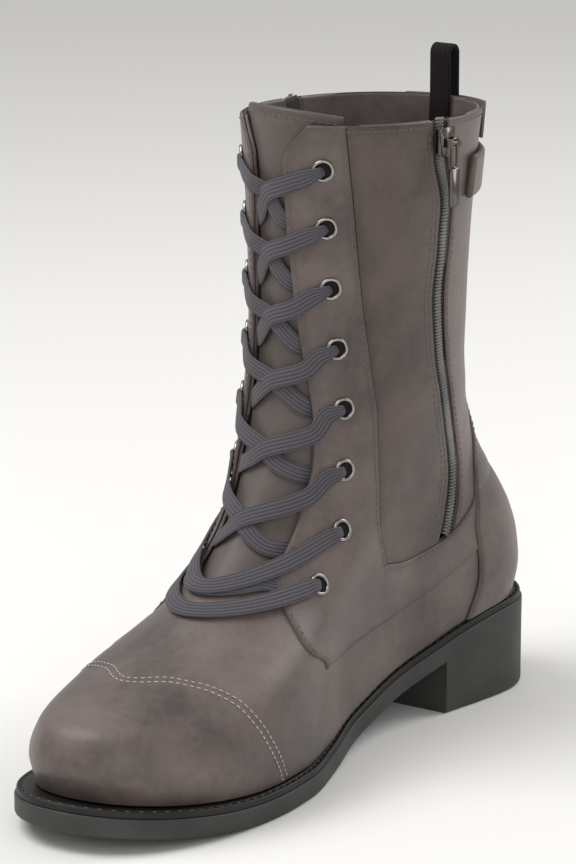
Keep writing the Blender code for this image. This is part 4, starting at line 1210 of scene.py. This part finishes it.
class BOOT_OT_back_bands(bpy.types.Operator):
    """Leather strap across the back, the tab above it and the webbing pull loop"""
    bl_idname = "boot.back_bands"
    bl_label = "Back strap, tab and loop"

    def execute(self, context):
        cover = GAP + OVERLAY_THICK
        edge = float(table_curve(UPRIGHTS, 4, BACK_STRAP_TOP))

        def strap_lift(around):
            return LACE_GAP + cover * float(ease((around - edge + 0.12) / 0.10))

        # The strap and tab carry no edge distance attribute, so the leather's painted edge shade darkens
        # them all over.
        strap = back_band("back_strap_leather", BACK_STRAP_REACH, BACK_STRAP_FOOT, BACK_STRAP_TOP,
                          strap_lift, STRAP_THICK, 60)
        dress(strap, (finish("strap"),), ("back_strap",))
        lift = loop_stack() + LOOP_THICK + LACE_GAP
        foot = BACK_STRAP_TOP + 2 * GAP / COLLAR_HEIGHT
        tab = back_band("back_tab_leather", BACK_TAB_REACH, foot, 1.0, lambda around: lift, OVERLAY_THICK,
                        30)
        dress(tab, (finish("strap"),), ("back_tab",))
        self.pull_loop()
        return {"FINISHED"}

    def pull_loop(self):
        """Webbing from inside the shaft over a round crown and down the outside."""
        back = last(1.0, 1.0)
        inside = back[0] + WALL + SEAT_GAP + GAP + LOOP_THICK / 2
        outside = back[0] - loop_stack() - LOOP_THICK / 2
        middle = (inside + outside) / 2
        radius = (inside - outside) / 2
        crown = COLLAR_HEIGHT + LOOP_RISE - radius
        inner_foot = last(1.0, BACK_STRAP_FOOT)
        outer_foot = last(1.0, (BACK_STRAP_TOP + 1.0) / 2)
        path = [(inner_foot[0] + inside - back[0], 0, inner_foot[2]), (inside, 0, back[2])]
        path += [(inside, 0, back[2] + (crown - back[2]) * k / 4) for k in (1, 2, 3)]
        path += [(middle + radius * cos(pi * k / 16), 0,
                  crown + radius * sin(pi * k / 16)) for k in range(17)]
        path += [(outside, 0, back[2] + (crown - back[2]) * k / 4) for k in (3, 2, 1)]
        path += [(outside, 0, back[2]), (outer_foot[0] + outside - back[0], 0, outer_foot[2])]
        path = np.array(path, float)
        run = unit(np.gradient(path, axis=0))
        across = np.tile((0.0, 1.0, 0.0), (len(path), 1))
        rise = unit(np.cross(run, across))
        widths = np.full(len(path), LOOP_WIDTH)
        loop = strip("pull_loop_webbing", path, across, rise, widths, np.full(len(path), LOOP_THICK))
        dress(loop, (finish("webbing"),), ("pull_loop",))


class BOOT_OT_stitches(bpy.types.Operator):
    """Every row of stitches: toe cap, facings, panels, zips, backstay, collar, tongue and welt"""
    bl_idname = "boot.stitches"
    bl_label = "Stitches"

    def execute(self, context):
        sizes = context.scene.boot_sizes
        size = (sizes.stitch_length, sizes.thread_width, STITCH_HEIGHT)
        cap = [cap_line(-CAP_ROW_INSET), cap_line(CAP_ROW_INSET)]
        dress(beads("cap_stitches", cap, sizes.stitch_pitch, size, finish("pale_thread")),
              (finish("pale_thread"),))
        on_step = STEP + 0.02 * MM
        on_panel = PANEL_THICK
        rows = []
        for side in (1, -1):
            rows.append(line_up(1, ROW_INSET, 0.20, 0.97, side, on_step))
            rows.append(line_up(2, -1.9 * MM, 0.345, 0.985, side, on_step))
            rows.append(line_up(3, -2.0 * MM, 0.315, 0.985, side, on_panel))
            rows.append(line_up(3, -4.6 * MM, 0.320, 0.985, side, on_panel))
            rows.append(line_up(4, 2.0 * MM, 0.33, 0.90, side, on_panel))
            rows.append(line_up(5, 2.0 * MM, 0.03, 0.90, side, GAP + OVERLAY_THICK))
            rows.append(line_round(2, -2.0 * MM, 0.535, 0.70, side, on_step))
            rows.append(collar_line(ROW_INSET, 0.165, 0.232, side, on_step))
            rows.append(collar_line(ROW_INSET, 0.245, 0.45, side, on_panel))
            rows.append(collar_line(ROW_INSET, 0.55, 0.84, side, on_panel))
        rows.append(self.tongue_edge())
        seam = beads("seam_stitches", rows, sizes.stitch_pitch, size, finish("dark_thread"))
        dress(seam, (finish("dark_thread"),))
        self.welt_stitches(sizes)
        return {"FINISHED"}

    def tongue_edge(self):
        """Row below the tongue's top edge."""
        u = np.linspace(-0.9, 0.9, 50)
        rounds = u * float(strip_lines(np.array(1.0))[2])
        heights = 1.0 + (TONGUE_RISE * (1 - 0.5 * u * u) - 3.0 * MM) / COLLAR_HEIGHT
        base = last(rounds, heights)
        normal = outward(rounds, heights)
        return base + normal * (-(WALL + GAP) + 0.05 * MM), normal

    def welt_stitches(self, sizes):
        """Lockstitches in the welt's groove: black all round, pale where the thread shows at the toe."""
        def row(start, end):
            angles = np.linspace(start, end, 300)
            flat = outline(angles, WELT_SETBACK + 1.7 * MM)
            heights = welt_top(length_share(flat[:, 0])) - 0.05 * MM
            return np.column_stack([flat, heights]), np.tile((0.0, 0.0, 1.0), (300, 1))

        size = (3.0 * MM, 0.8 * MM, 0.6 * MM)
        black = beads("welt_stitches", [row(-2.85, -0.72), row(0.72, 2.85)], 4.4 * MM, size,
                      finish("welt_thread"))
        dress(black, (finish("welt_thread"),))
        pale = beads("toe_welt_stitches", [row(-0.70, 0.70)], 4.8 * MM, (1.6 * MM, 0.6 * MM, 0.5 * MM),
                     finish("dark_thread"))
        dress(pale, (finish("dark_thread"),))


# Eyelets and laces

def lathe(name, profile, turns):
    """A closed ring turned about Z from a closed profile of radius and height."""
    sections = []
    for k in range(turns):
        angle = 2 * pi * k / turns
        sections.append([(r * cos(angle), r * sin(angle), z) for r, z in profile])
    return loft(name, sections, closed=True)


def eyelet_profile():
    """Section of a turned eyelet: a rolled flange on top and a barrel through the leather."""
    bore = EYELET_BORE / 2 + EYELET_THINNED
    flange = EYELET_FLANGE / 2 - EYELET_THINNED / 3
    middle = (bore + flange) / 2
    half = (flange - bore) / 2
    dome = [(middle + half * cos(pi * k / 10),
             0.25 * MM + EYELET_DOME * sin(pi * k / 10)) for k in range(11)]
    barrel = bore + 0.45 * MM
    return dome + [(bore, -(WALL + STEP)), (barrel, -(WALL + STEP)), (barrel, 0.1 * MM), (flange, 0.1 * MM)]


class BOOT_OT_eyelets(bpy.types.Operator):
    """Sixteen turned eyelets with a disc of painted shadow in each bore, each standing on the facing's own
    normal
    """
    bl_idname = "boot.eyelets"
    bl_label = "Eyelets"

    def execute(self, context):
        rings = []
        nodes = []
        for k, (height, around) in enumerate(EYELETS, start=1):
            for hand, side in (("medial", 1), ("lateral", -1)):
                ring = lathe("eyelet", eyelet_profile(), 36)
                paint(ring, finish("metal"))
                # Painted shadow: a dark disc fills the bore, where the hole's inside lies in shade.
                bore_shadow = rod("bore_shadow", (0, 0, -0.5 * MM), (0, 0, 0.3 * MM), EYELET_BORE / 2 + EYELET_THINNED, 24)
                paint(bore_shadow, finish("bore_shadow"))
                spot = stand(side * around, height, STEP)
                rings += [place(ring, spot), place(bore_shadow, spot)]
                nodes.append("eyelet_%s_%d" % (hand, k))
        eyelets = join("eyelet_rings", rings)
        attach(eyelets, "boot")
        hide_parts(*nodes)
        return {"FINISHED"}


OVER_FACING = STEP + LACE_GAP + LACE_THICK / 2
ON_TONGUE = -(WALL + GAP) + LACE_GAP + LACE_THICK / 2
ON_VAMP = LACE_GAP + LACE_THICK / 2


def edge_share(height):
    return float(table_curve(UPRIGHTS, 1, height))


def share_of(metres, around, height):
    """Round share of a length of leather at a place."""
    return metres * float(per_metre(np.array(around), np.array(height)))


def lace_strip(name, stops, count, lace_width):
    """A flat lace through stops of round share, height, offset, width share and thickness."""
    stops = np.array(stops)
    flat = last(stops[:, 0], stops[:, 1]) + outward(stops[:, 0], stops[:, 1]) * stops[:, 2:3]
    run = np.concatenate([[0], np.cumsum(np.linalg.norm(np.diff(flat, axis=0), axis=1))])
    at = np.linspace(0, run[-1], count)
    rounds, heights, offsets, widths, thicks = (monotone(run, stops[:, c], at) for c in range(5))
    normal = outward(rounds, heights)
    path = last(rounds, heights) + normal * offsets[:, None]
    ahead = unit(np.gradient(path, axis=0))
    across = np.cross(normal, ahead)
    weak = np.linalg.norm(across, axis=1) < 0.35
    steady = unit(np.cross(normal, path[-1] - path[0]))
    across = unit(np.where(weak[:, None], steady, unit(across) * 0.7 + steady * 0.3))
    across = unit(across - ahead * np.sum(across * ahead, axis=1)[:, None])
    rise = unit(np.cross(ahead, across))
    return strip(name, path, across, rise, widths * lace_width, thicks)


def eyelet_stops(side, k, towards):
    """Stops of a lace from inside an eyelet, over its flange and on to the facing."""
    height, around = EYELETS[k]
    fall = towards / COLLAR_HEIGHT
    stops = []
    for out, drop, offset, width, thick in (
        (0.0, 0.00, -2.0, 0.46, 2.2),
        (0.2, 0.05, 0.2, 0.48, 2.2),
        (1.6, 0.20, 2.3, 0.60, 1.7),
        (3.6, 0.50, 2.75, 0.80, 1.4),
        (6.2, 0.90, 2.15, 0.95, 1.2),
    ):
        turned = side * (around - share_of(out * MM, around, height))
        stops.append((turned, height - drop * fall, offset * MM, width, thick * MM))
    return stops


class BOOT_OT_laces(bpy.types.Operator):
    """One flat lace: the bar at the lowest eyelets, then a run from each eyelet across the throat"""
    bl_idname = "boot.laces"
    bl_label = "Laces"

    def execute(self, context):
        width = context.scene.boot_sizes.lace_width
        runs = []
        for k in range(len(EYELETS) - 1):
            for side in (-1, 1):
                runs.append(self.run(k, side, width))
        runs.append(self.bar(width))
        nodes = ["lace_crossing_%d" % k for k in range(1, len(EYELETS))] + ["lace_bar"]
        dress(join("flat_lace", runs), (finish("lace"),), nodes)
        return {"FINISHED"}

    def run(self, k, side, width):
        """From eyelet k over its facing, across the tongue and under the other facing's edge."""
        high = EYELETS[k][0]
        low = EYELETS[k + 1][0]
        throat_foot = LEVELS[0][2]
        middle = (high + low) / 2
        arrive = low + (0.10 if low > throat_foot else 0.50) * (high - low)
        leave = high - 0.30 * (high - low)
        on_tongue = middle > throat_foot + LACE_WIDTH / COLLAR_HEIGHT
        rest = ON_TONGUE if on_tongue else ON_VAMP
        rest_end = ON_TONGUE if arrive > throat_foot + LACE_WIDTH / COLLAR_HEIGHT else ON_VAMP
        lift = LACE_THICK * 0.85 if side > 0 else 0.0
        edge = edge_share(arrive)
        tuck = -side * (edge - share_of(TUCK_SETBACK * 0.6, 0.0, arrive))
        under = -side * (edge + share_of(2.5 * MM, edge, arrive))
        stops = eyelet_stops(side, k, 1.6 * MM) + [
            (side * edge_share(leave), leave, OVER_FACING, 1.0, LACE_THICK),
            (0.0, middle, rest + lift + GAP, 1.0, LACE_THICK),
            (tuck, arrive, rest_end, 1.0, LACE_THICK),
        ]
        if rest_end == ON_TONGUE:
            stops.append((under, low, -WALL - 0.4 * MM, 0.9, LACE_THICK * 0.8))
        else:
            stops.append((under, low + 0.35 * (high - low), STEP / 2, 0.9, STEP / 2))
        return lace_strip("lace_run_%d_%s" % (k, side), stops, 64, width)

    def bar(self, width):
        """Straight run on the outside between the two lowest eyelets, entering both from outside."""
        height = EYELETS[-1][0]
        sag = BAR_SAG / COLLAR_HEIGHT
        edge = edge_share(height + sag)
        start = eyelet_stops(1, len(EYELETS) - 1, -0.8 * MM)
        end = eyelet_stops(-1, len(EYELETS) - 1, -0.8 * MM)[::-1]
        middle = [
            (edge, height + sag / 3, OVER_FACING, 1.0, LACE_THICK),
            (0.0, height + sag, ON_VAMP + STEP / 2, 1.0, LACE_THICK),
            (-edge, height + sag / 3, OVER_FACING, 1.0, LACE_THICK),
        ]
        return lace_strip("lace_bar_run", start + middle + end, 120, width)


# Zips

def slot_middle(height):
    lines = strip_lines(np.asarray(height, float))
    return (lines[3] + lines[4]) / 2


def pull_frame(side, at):
    """Frame of a zip slider: X across the zip, Y up, Z outwards and level."""
    around = side * float(slot_middle(at))
    normal = outward(around, at)
    level = Vector((float(normal[0]), float(normal[1]), 0)).normalized()
    up = Vector((0, 0, 1))
    turn = Matrix((up.cross(level), up, level)).transposed().to_4x4()
    return Matrix.Translation(triple(last(around, at))) @ turn


class BOOT_OT_zips(bpy.types.Operator):
    """Zip tapes and coils in the two side slots"""
    bl_idname = "boot.zips"
    bl_label = "Zips"

    def execute(self, context):
        pitch = context.scene.boot_sizes.coil_pitch
        for hand, side in (("medial", 1), ("lateral", -1)):
            lowest = float(table_curve(LEVELS, 2, 0.655)) + 0.012
            heights = np.linspace(lowest, 1.0, ZIP_STEPS)
            rounds = side * slot_middle(heights)
            normal = outward(rounds, heights)
            base = last(rounds, heights)
            run = unit(np.gradient(base, axis=0))
            across = unit(np.cross(normal, run))
            tape = strip("tape", base - normal * TAPE_DEPTH, across, normal, np.full(ZIP_STEPS, TAPE_WIDTH),
                         np.full(ZIP_STEPS, TAPE_THICK))
            paint(tape, finish("tape"))
            teeth = []
            for way in (1, -1):
                shift = run * (pitch / 2 if way > 0 else 0.0)
                path = base + across * way * COIL_SETBACK - normal * COIL_DEPTH + shift
                teeth.append((path, normal))
            coil = beads("coil", teeth, pitch, (pitch * 0.92, COIL_WIDTH, COIL_HEIGHT), finish("coil"))
            cord = strip("cord", base - normal * 0.2 * MM, across, normal, np.full(ZIP_STEPS, 0.7 * MM),
                         np.full(ZIP_STEPS, 1.2 * MM))
            paint(cord, finish("coil"))
            zip_piece = join(hand + "_zip_chain", [tape, coil, cord])
            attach(zip_piece, "boot")
            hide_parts(hand + "_zip")
        return {"FINISHED"}


def prism(name, outer, depth, low, bevel, inner=None):
    """A plate cut from a flat outline, with an optional window, and bevelled edges."""
    body = bmesh.new()
    loops = [outer] + ([inner] if inner else [])
    rings = []
    for loop in loops:
        rings.append([[body.verts.new((x, y, z)) for x, y in loop] for z in (low, low + depth)])
    for ring, flip in zip(rings, (False, True)):
        count = len(ring[0])
        for i in range(count):
            j = (i + 1) % count
            face = [ring[0][i], ring[0][j], ring[1][j], ring[1][i]]
            body.faces.new(face[::-1] if flip else face)
    for level in (0, 1):
        if inner:
            count = len(outer)
            for i in range(count):
                j = (i + 1) % count
                body.faces.new([rings[0][level][i], rings[0][level][j], rings[1][level][j],
                                rings[1][level][i]])
        else:
            body.faces.new(rings[0][level])
    bmesh.ops.recalc_face_normals(body, faces=body.faces)
    sharp = [e for e in body.edges if len(e.link_faces) == 2 and e.calc_face_angle(0) > radians(40)]
    bmesh.ops.bevel(body, geom=sharp, offset=bevel, segments=2, affect="EDGES", clamp_overlap=True)
    mesh = bpy.data.meshes.new(name)
    body.to_mesh(mesh)
    body.free()
    mesh.shade_smooth()
    thing = bpy.data.objects.new(name, mesh)
    bpy.context.scene.collection.objects.link(thing)
    return thing


def oblong(width, tall, corner, centre=(0.0, 0.0), steps=5):
    """Flat outline of a rectangle with round corners."""
    points = []
    for quarter, (sx, sy) in enumerate(((1, 1), (-1, 1), (-1, -1), (1, -1))):
        for k in range(steps + 1):
            angle = pi / 2 * (quarter + k / steps)
            x = centre[0] + sx * (width / 2 - corner) + corner * cos(angle)
            y = centre[1] + sy * (tall / 2 - corner) + corner * sin(angle)
            points.append((x, y))
    return points


def rod(name, start, end, radius, sides=16):
    """A round bar with flat ends."""
    start, end = Vector(start), Vector(end)
    body = bmesh.new()
    length = (end - start).length
    bmesh.ops.create_cone(body, cap_ends=True, segments=sides, radius1=radius, radius2=radius, depth=length)
    mesh = bpy.data.meshes.new(name)
    body.to_mesh(mesh)
    body.free()
    turn = Vector((0, 0, 1)).rotation_difference(end - start).to_matrix().to_4x4()
    mesh.transform(Matrix.Translation((start + end) / 2) @ turn)
    mesh.shade_smooth()
    mesh.set_sharp_from_angle(angle=radians(40))
    thing = bpy.data.objects.new(name, mesh)
    bpy.context.scene.collection.objects.link(thing)
    return thing


class BOOT_OT_sliders(bpy.types.Operator):
    """Zip sliders: a waisted body on the coil, two ears and the pin"""
    bl_idname = "boot.sliders"
    bl_label = "Zip sliders"

    def execute(self, context):
        for hand, side, at in (("medial", 1, MEDIAL_SLIDER_AT), ("lateral", -1, LATERAL_SLIDER_AT)):
            shape = []
            for x, y in ((4.3, 5.4), (-4.3, 5.4), (-4.3, 1.5), (-3.2, -2.0), (-3.0, -5.4), (3.0, -5.4),
                         (3.2, -2.0), (4.3, 1.5)):
                shape.append((x * MM, y * MM))
            pieces = [prism("slider_plate", shape, 1.2 * MM, SLIDER_FOOT + SLIDER_THICK - 1.2 * MM,
                            0.35 * MM)]
            lips = [prism("slider_lip", oblong(1.0 * MM, 9.6 * MM, 0.45 * MM, (x * MM, 0.2 * MM)), 2.4 * MM,
                          SLIDER_FOOT - 0.6 * MM, 0.25 * MM) for x in (-3.3, 3.3)]
            ears = [prism("slider_ear", oblong(1.2 * MM, 3.4 * MM, 0.55 * MM, (x * MM, 0.0)), 4.4 * MM,
                          SLIDER_FOOT + SLIDER_THICK - 0.5 * MM, 0.3 * MM) for x in (-2.55, 2.55)]
            pin = rod("slider_pin", (-2.9 * MM, 0, PIN_AT), (2.9 * MM, 0, PIN_AT), PIN_RADIUS)
            slider = join(hand + "_slider_body", pieces + lips + ears + [pin])
            place(slider, pull_frame(side, at))
            dress(slider, (finish("gunmetal"),), (hand + "_slider",))
        return {"FINISHED"}


class BOOT_OT_pulls(bpy.types.Operator):
    """Pull tabs that hang from the sliders' pins"""
    bl_idname = "boot.pulls"
    bl_label = "Pull tabs"

    def execute(self, context):
        made = (
            # hand, side, slider place, length, neck share, tab width mm
            ("medial", 1, MEDIAL_SLIDER_AT, MEDIAL_PULL_LENGTH, 0.42, 5.6),
            ("lateral", -1, LATERAL_SLIDER_AT, LATERAL_PULL_LENGTH, 0.34, 4.4),
        )
        for hand, side, at, length, neck, wide in made:
            ring = self.eye(length * neck)
            tall = length * (1 - neck) + 0.6 * MM
            middle = -(length * neck + tall / 2) + 0.6 * MM
            edge = oblong(wide * MM, tall, 1.2 * MM, (0, middle))
            window = oblong(wide * 0.36 * MM, tall * 0.5, 0.6 * MM, (0, middle - tall * 0.06))
            tab = prism("tab", edge, 1.4 * MM, -0.7 * MM, 0.3 * MM, None if side > 0 else window)
            pull = join(hand + "_pull_tab", [ring, tab])
            place(pull, pull_frame(side, at) @ Matrix.Translation((0, 0, PIN_AT)))
            dress(pull, (finish("gunmetal" if side > 0 else "metal"),), (hand + "_pull",),
                  hand + "_tab")
        return {"FINISHED"}

    def eye(self, drop):
        """A long eye round the pin that widens into a link."""
        inner = oblong(2.4 * MM, drop - 0.2 * MM, 1.15 * MM, (0, -drop / 2 + 1.2 * MM), steps=8)
        outer = oblong(4.2 * MM, drop + 1.6 * MM, 2.0 * MM, (0, -drop / 2 + 1.2 * MM), steps=8)
        return prism("eye", outer, 1.2 * MM, -0.6 * MM, 0.3 * MM, inner)


# Sole

def sole_plate(name, angles, rings):
    """A solid under the foot from rings of inset and height, closed by rungs across."""
    around = np.concatenate([angles, -angles[::-1]])
    count = len(around)
    half = len(angles)
    points = []
    for inset, level in rings:
        flat = outline(around, inset)
        points.append(np.column_stack([flat, level(length_share(flat[:, 0]))]))
    faces = []
    for k in range(len(rings) - 1):
        for i in range(count):
            j = (i + 1) % count
            a, b = k * count, (k + 1) * count
            faces.append((a + i, a + j, b + j, b + i))
    for base in (0, (len(rings) - 1) * count):
        for i in range(half - 1):
            faces.append((base + i, base + i + 1, base + count - 2 - i, base + count - 1 - i))
    thing = new_object(name, np.concatenate(points), faces)
    thing.data.set_sharp_from_angle(angle=radians(50))
    return thing


def quarter_round(radius, start_inset, level, up):
    """Rings of a rounded lower edge, or of a rounded upper edge when up is true."""
    rings = []
    for k in range(6):
        angle = pi / 2 * k / 5
        inset = radius * (1 - (sin(angle) if not up else cos(angle)))
        rise = radius * (1 - cos(angle)) if not up else -radius * (1 - sin(angle))
        rings.append((start_inset + inset, lambda s, rise=rise: level(s) + rise))
    return rings


class BOOT_OT_sole(bpy.types.Operator):
    """Moulded outsole and heel block in one look, the welt with its groove, and the insole"""
    bl_idname = "boot.sole"
    bl_label = "Sole, heel, welt and insole"

    def execute(self, context):
        stations = 130
        angles = pi * (np.arange(stations) + 0.5) / stations
        rings = quarter_round(1.3 * MM, 0.0, sole_bottom, False) + quarter_round(0.8 * MM, 0.0, sole_top,
                                                                                 True)
        rings.append((WELT_SETBACK + 3 * MM, sole_top))
        outsole = sole_plate("outsole_rubber", angles, rings)
        dress(outsole, (finish("sole"),), ("outsole",))
        breast = angles[(1 + np.cos(angles)) / 2 < HEEL_BREAST]
        rings = quarter_round(1.5 * MM, 0.1 * MM, lambda s: 0.0 * s, False)
        rings.append((0.05 * MM, lambda s: sole_bottom(s) + 1.2 * MM))
        heel = sole_plate("heel_block", breast, rings)
        dress(heel, (finish("sole"),), ("heel",))
        self.welt()
        inset = WELT_SETBACK + WELT_WIDTH + GAP

        def foot(share):
            return sole_top(share) + GAP

        rings = [(inset, foot)] + quarter_round(0.8 * MM, inset, lambda s: foot(s) + INSOLE_THICK, True)
        insole = sole_plate("insole_board", angles, rings)
        dress(insole, (finish("insole"),), ("insole",))
        return {"FINISHED"}

    def welt(self):
        """A flat strip with a rounded outer edge and a groove for its stitches."""
        count = 420
        angles = np.linspace(-pi, pi, count, endpoint=False) + pi / count
        section = (
            # inset from the outline, height above the outsole's top
            (0.8, 0.3), (0.8, 1.9), (0.9, 2.3), (1.2, 2.5), (1.7, 2.5), (2.0, 2.1), (2.4, 1.9), (2.8, 2.1),
            (3.1, 2.5), (3.8, 2.5), (6.0, 2.4), (13.8, 2.4), (13.8, 0.3),
        )
        rows = []
        for inset, rise in section:
            flat = outline(angles, inset * MM)
            rows.append(np.column_stack([flat, sole_top(length_share(flat[:, 0])) + rise * MM]))
        sections = np.stack(rows, axis=1)
        welt = loft("welt_strip", sections, closed=True)
        welt.data.set_sharp_from_angle(angle=radians(60))
        dress(welt, (finish("welt"),), ("welt",))


# Stage

CAMERA_AT = Vector((1.3094, 0.8655, 0.4942))
CAMERA_AIM = Vector((0.104, 0.004, 0.123))
CAMERA_LENS = 172.0
WORLD_STRENGTH = 0.52
LAMPS = (
    # name, place, aim, size, watts
    ("key", (0.55, -0.55, 1.25), (0.1, 0, 0.1), 0.9, 12),
    ("fill", (1.3, 1.3, 0.7), (0.1, 0, 0.12), 1.2, 5),
    ("back", (-1.0, 0.5, 1.0), (0.0, 0, 0.15), 0.7, 7),
)


class BOOT_OT_stage(bpy.types.Operator):
    """Pale floor, soft studio lights and the camera at the photo's angle"""
    bl_idname = "boot.stage"
    bl_label = "Stage"

    def execute(self, context):
        scene = context.scene
        bpy.ops.mesh.primitive_plane_add(size=6, location=(0, 0, 0))
        floor = context.active_object
        floor.name = "floor"
        paint(floor, finish("floor"))
        for lamp in LAMPS:
            self.lamp(*lamp)
        world = bpy.data.worlds.new("studio")
        world.use_nodes = True
        world.node_tree.nodes["Background"].inputs["Color"].default_value = (1.0, 0.995, 0.985, 1)
        world.node_tree.nodes["Background"].inputs["Strength"].default_value = WORLD_STRENGTH
        scene.world = world
        scene.view_settings.view_transform = "Standard"
        camera = bpy.data.objects.new("camera", bpy.data.cameras.new("camera"))
        scene.collection.objects.link(camera)
        camera.location = CAMERA_AT
        camera.rotation_euler = (CAMERA_AIM - CAMERA_AT).to_track_quat("-Z", "Y").to_euler()
        camera.data.lens = CAMERA_LENS
        scene.camera = camera
        return {"FINISHED"}

    def lamp(self, name, at, aim, size, power):
        data = bpy.data.lights.new(name, "AREA")
        data.size = size
        data.energy = power
        lamp = bpy.data.objects.new(name, data)
        lamp.location = at
        lamp.rotation_euler = (Vector(aim) - Vector(at)).to_track_quat("-Z", "Y").to_euler()
        bpy.context.scene.collection.objects.link(lamp)


OPERATORS = (
    BOOT_OT_stage, BOOT_OT_shell, BOOT_OT_overlays, BOOT_OT_tongue, BOOT_OT_back_bands, BOOT_OT_stitches,
    BOOT_OT_eyelets, BOOT_OT_laces, BOOT_OT_zips, BOOT_OT_sliders, BOOT_OT_pulls, BOOT_OT_sole,
)


class BOOT_PT_panel(bpy.types.Panel):
    """The boot's pieces, sizes and colours"""
    bl_label = "Lace-up boot"
    bl_idname = "BOOT_PT_panel"
    bl_space_type = "VIEW_3D"
    bl_region_type = "UI"
    bl_category = "Boot"

    def draw(self, context):
        for group in (context.scene.boot_sizes, context.scene.boot_colours):
            for key in group.__annotations__:
                self.layout.prop(group, key)
        for operator in OPERATORS:
            self.layout.operator(operator.bl_idname)


CLASSES = (BootSizes, BootColours, *OPERATORS, BOOT_PT_panel)


def register():
    for item in CLASSES:
        bpy.utils.register_class(item)
    bpy.types.Scene.boot_sizes = bpy.props.PointerProperty(type=BootSizes)
    bpy.types.Scene.boot_colours = bpy.props.PointerProperty(type=BootColours)


def unregister():
    del bpy.types.Scene.boot_sizes
    del bpy.types.Scene.boot_colours
    for item in reversed(CLASSES):
        bpy.utils.unregister_class(item)


def main():
    register()
    for operator in OPERATORS:
        family, name = operator.bl_idname.split(".")
        getattr(getattr(bpy.ops, family), name)()


if __name__ == "__main__":
    main()
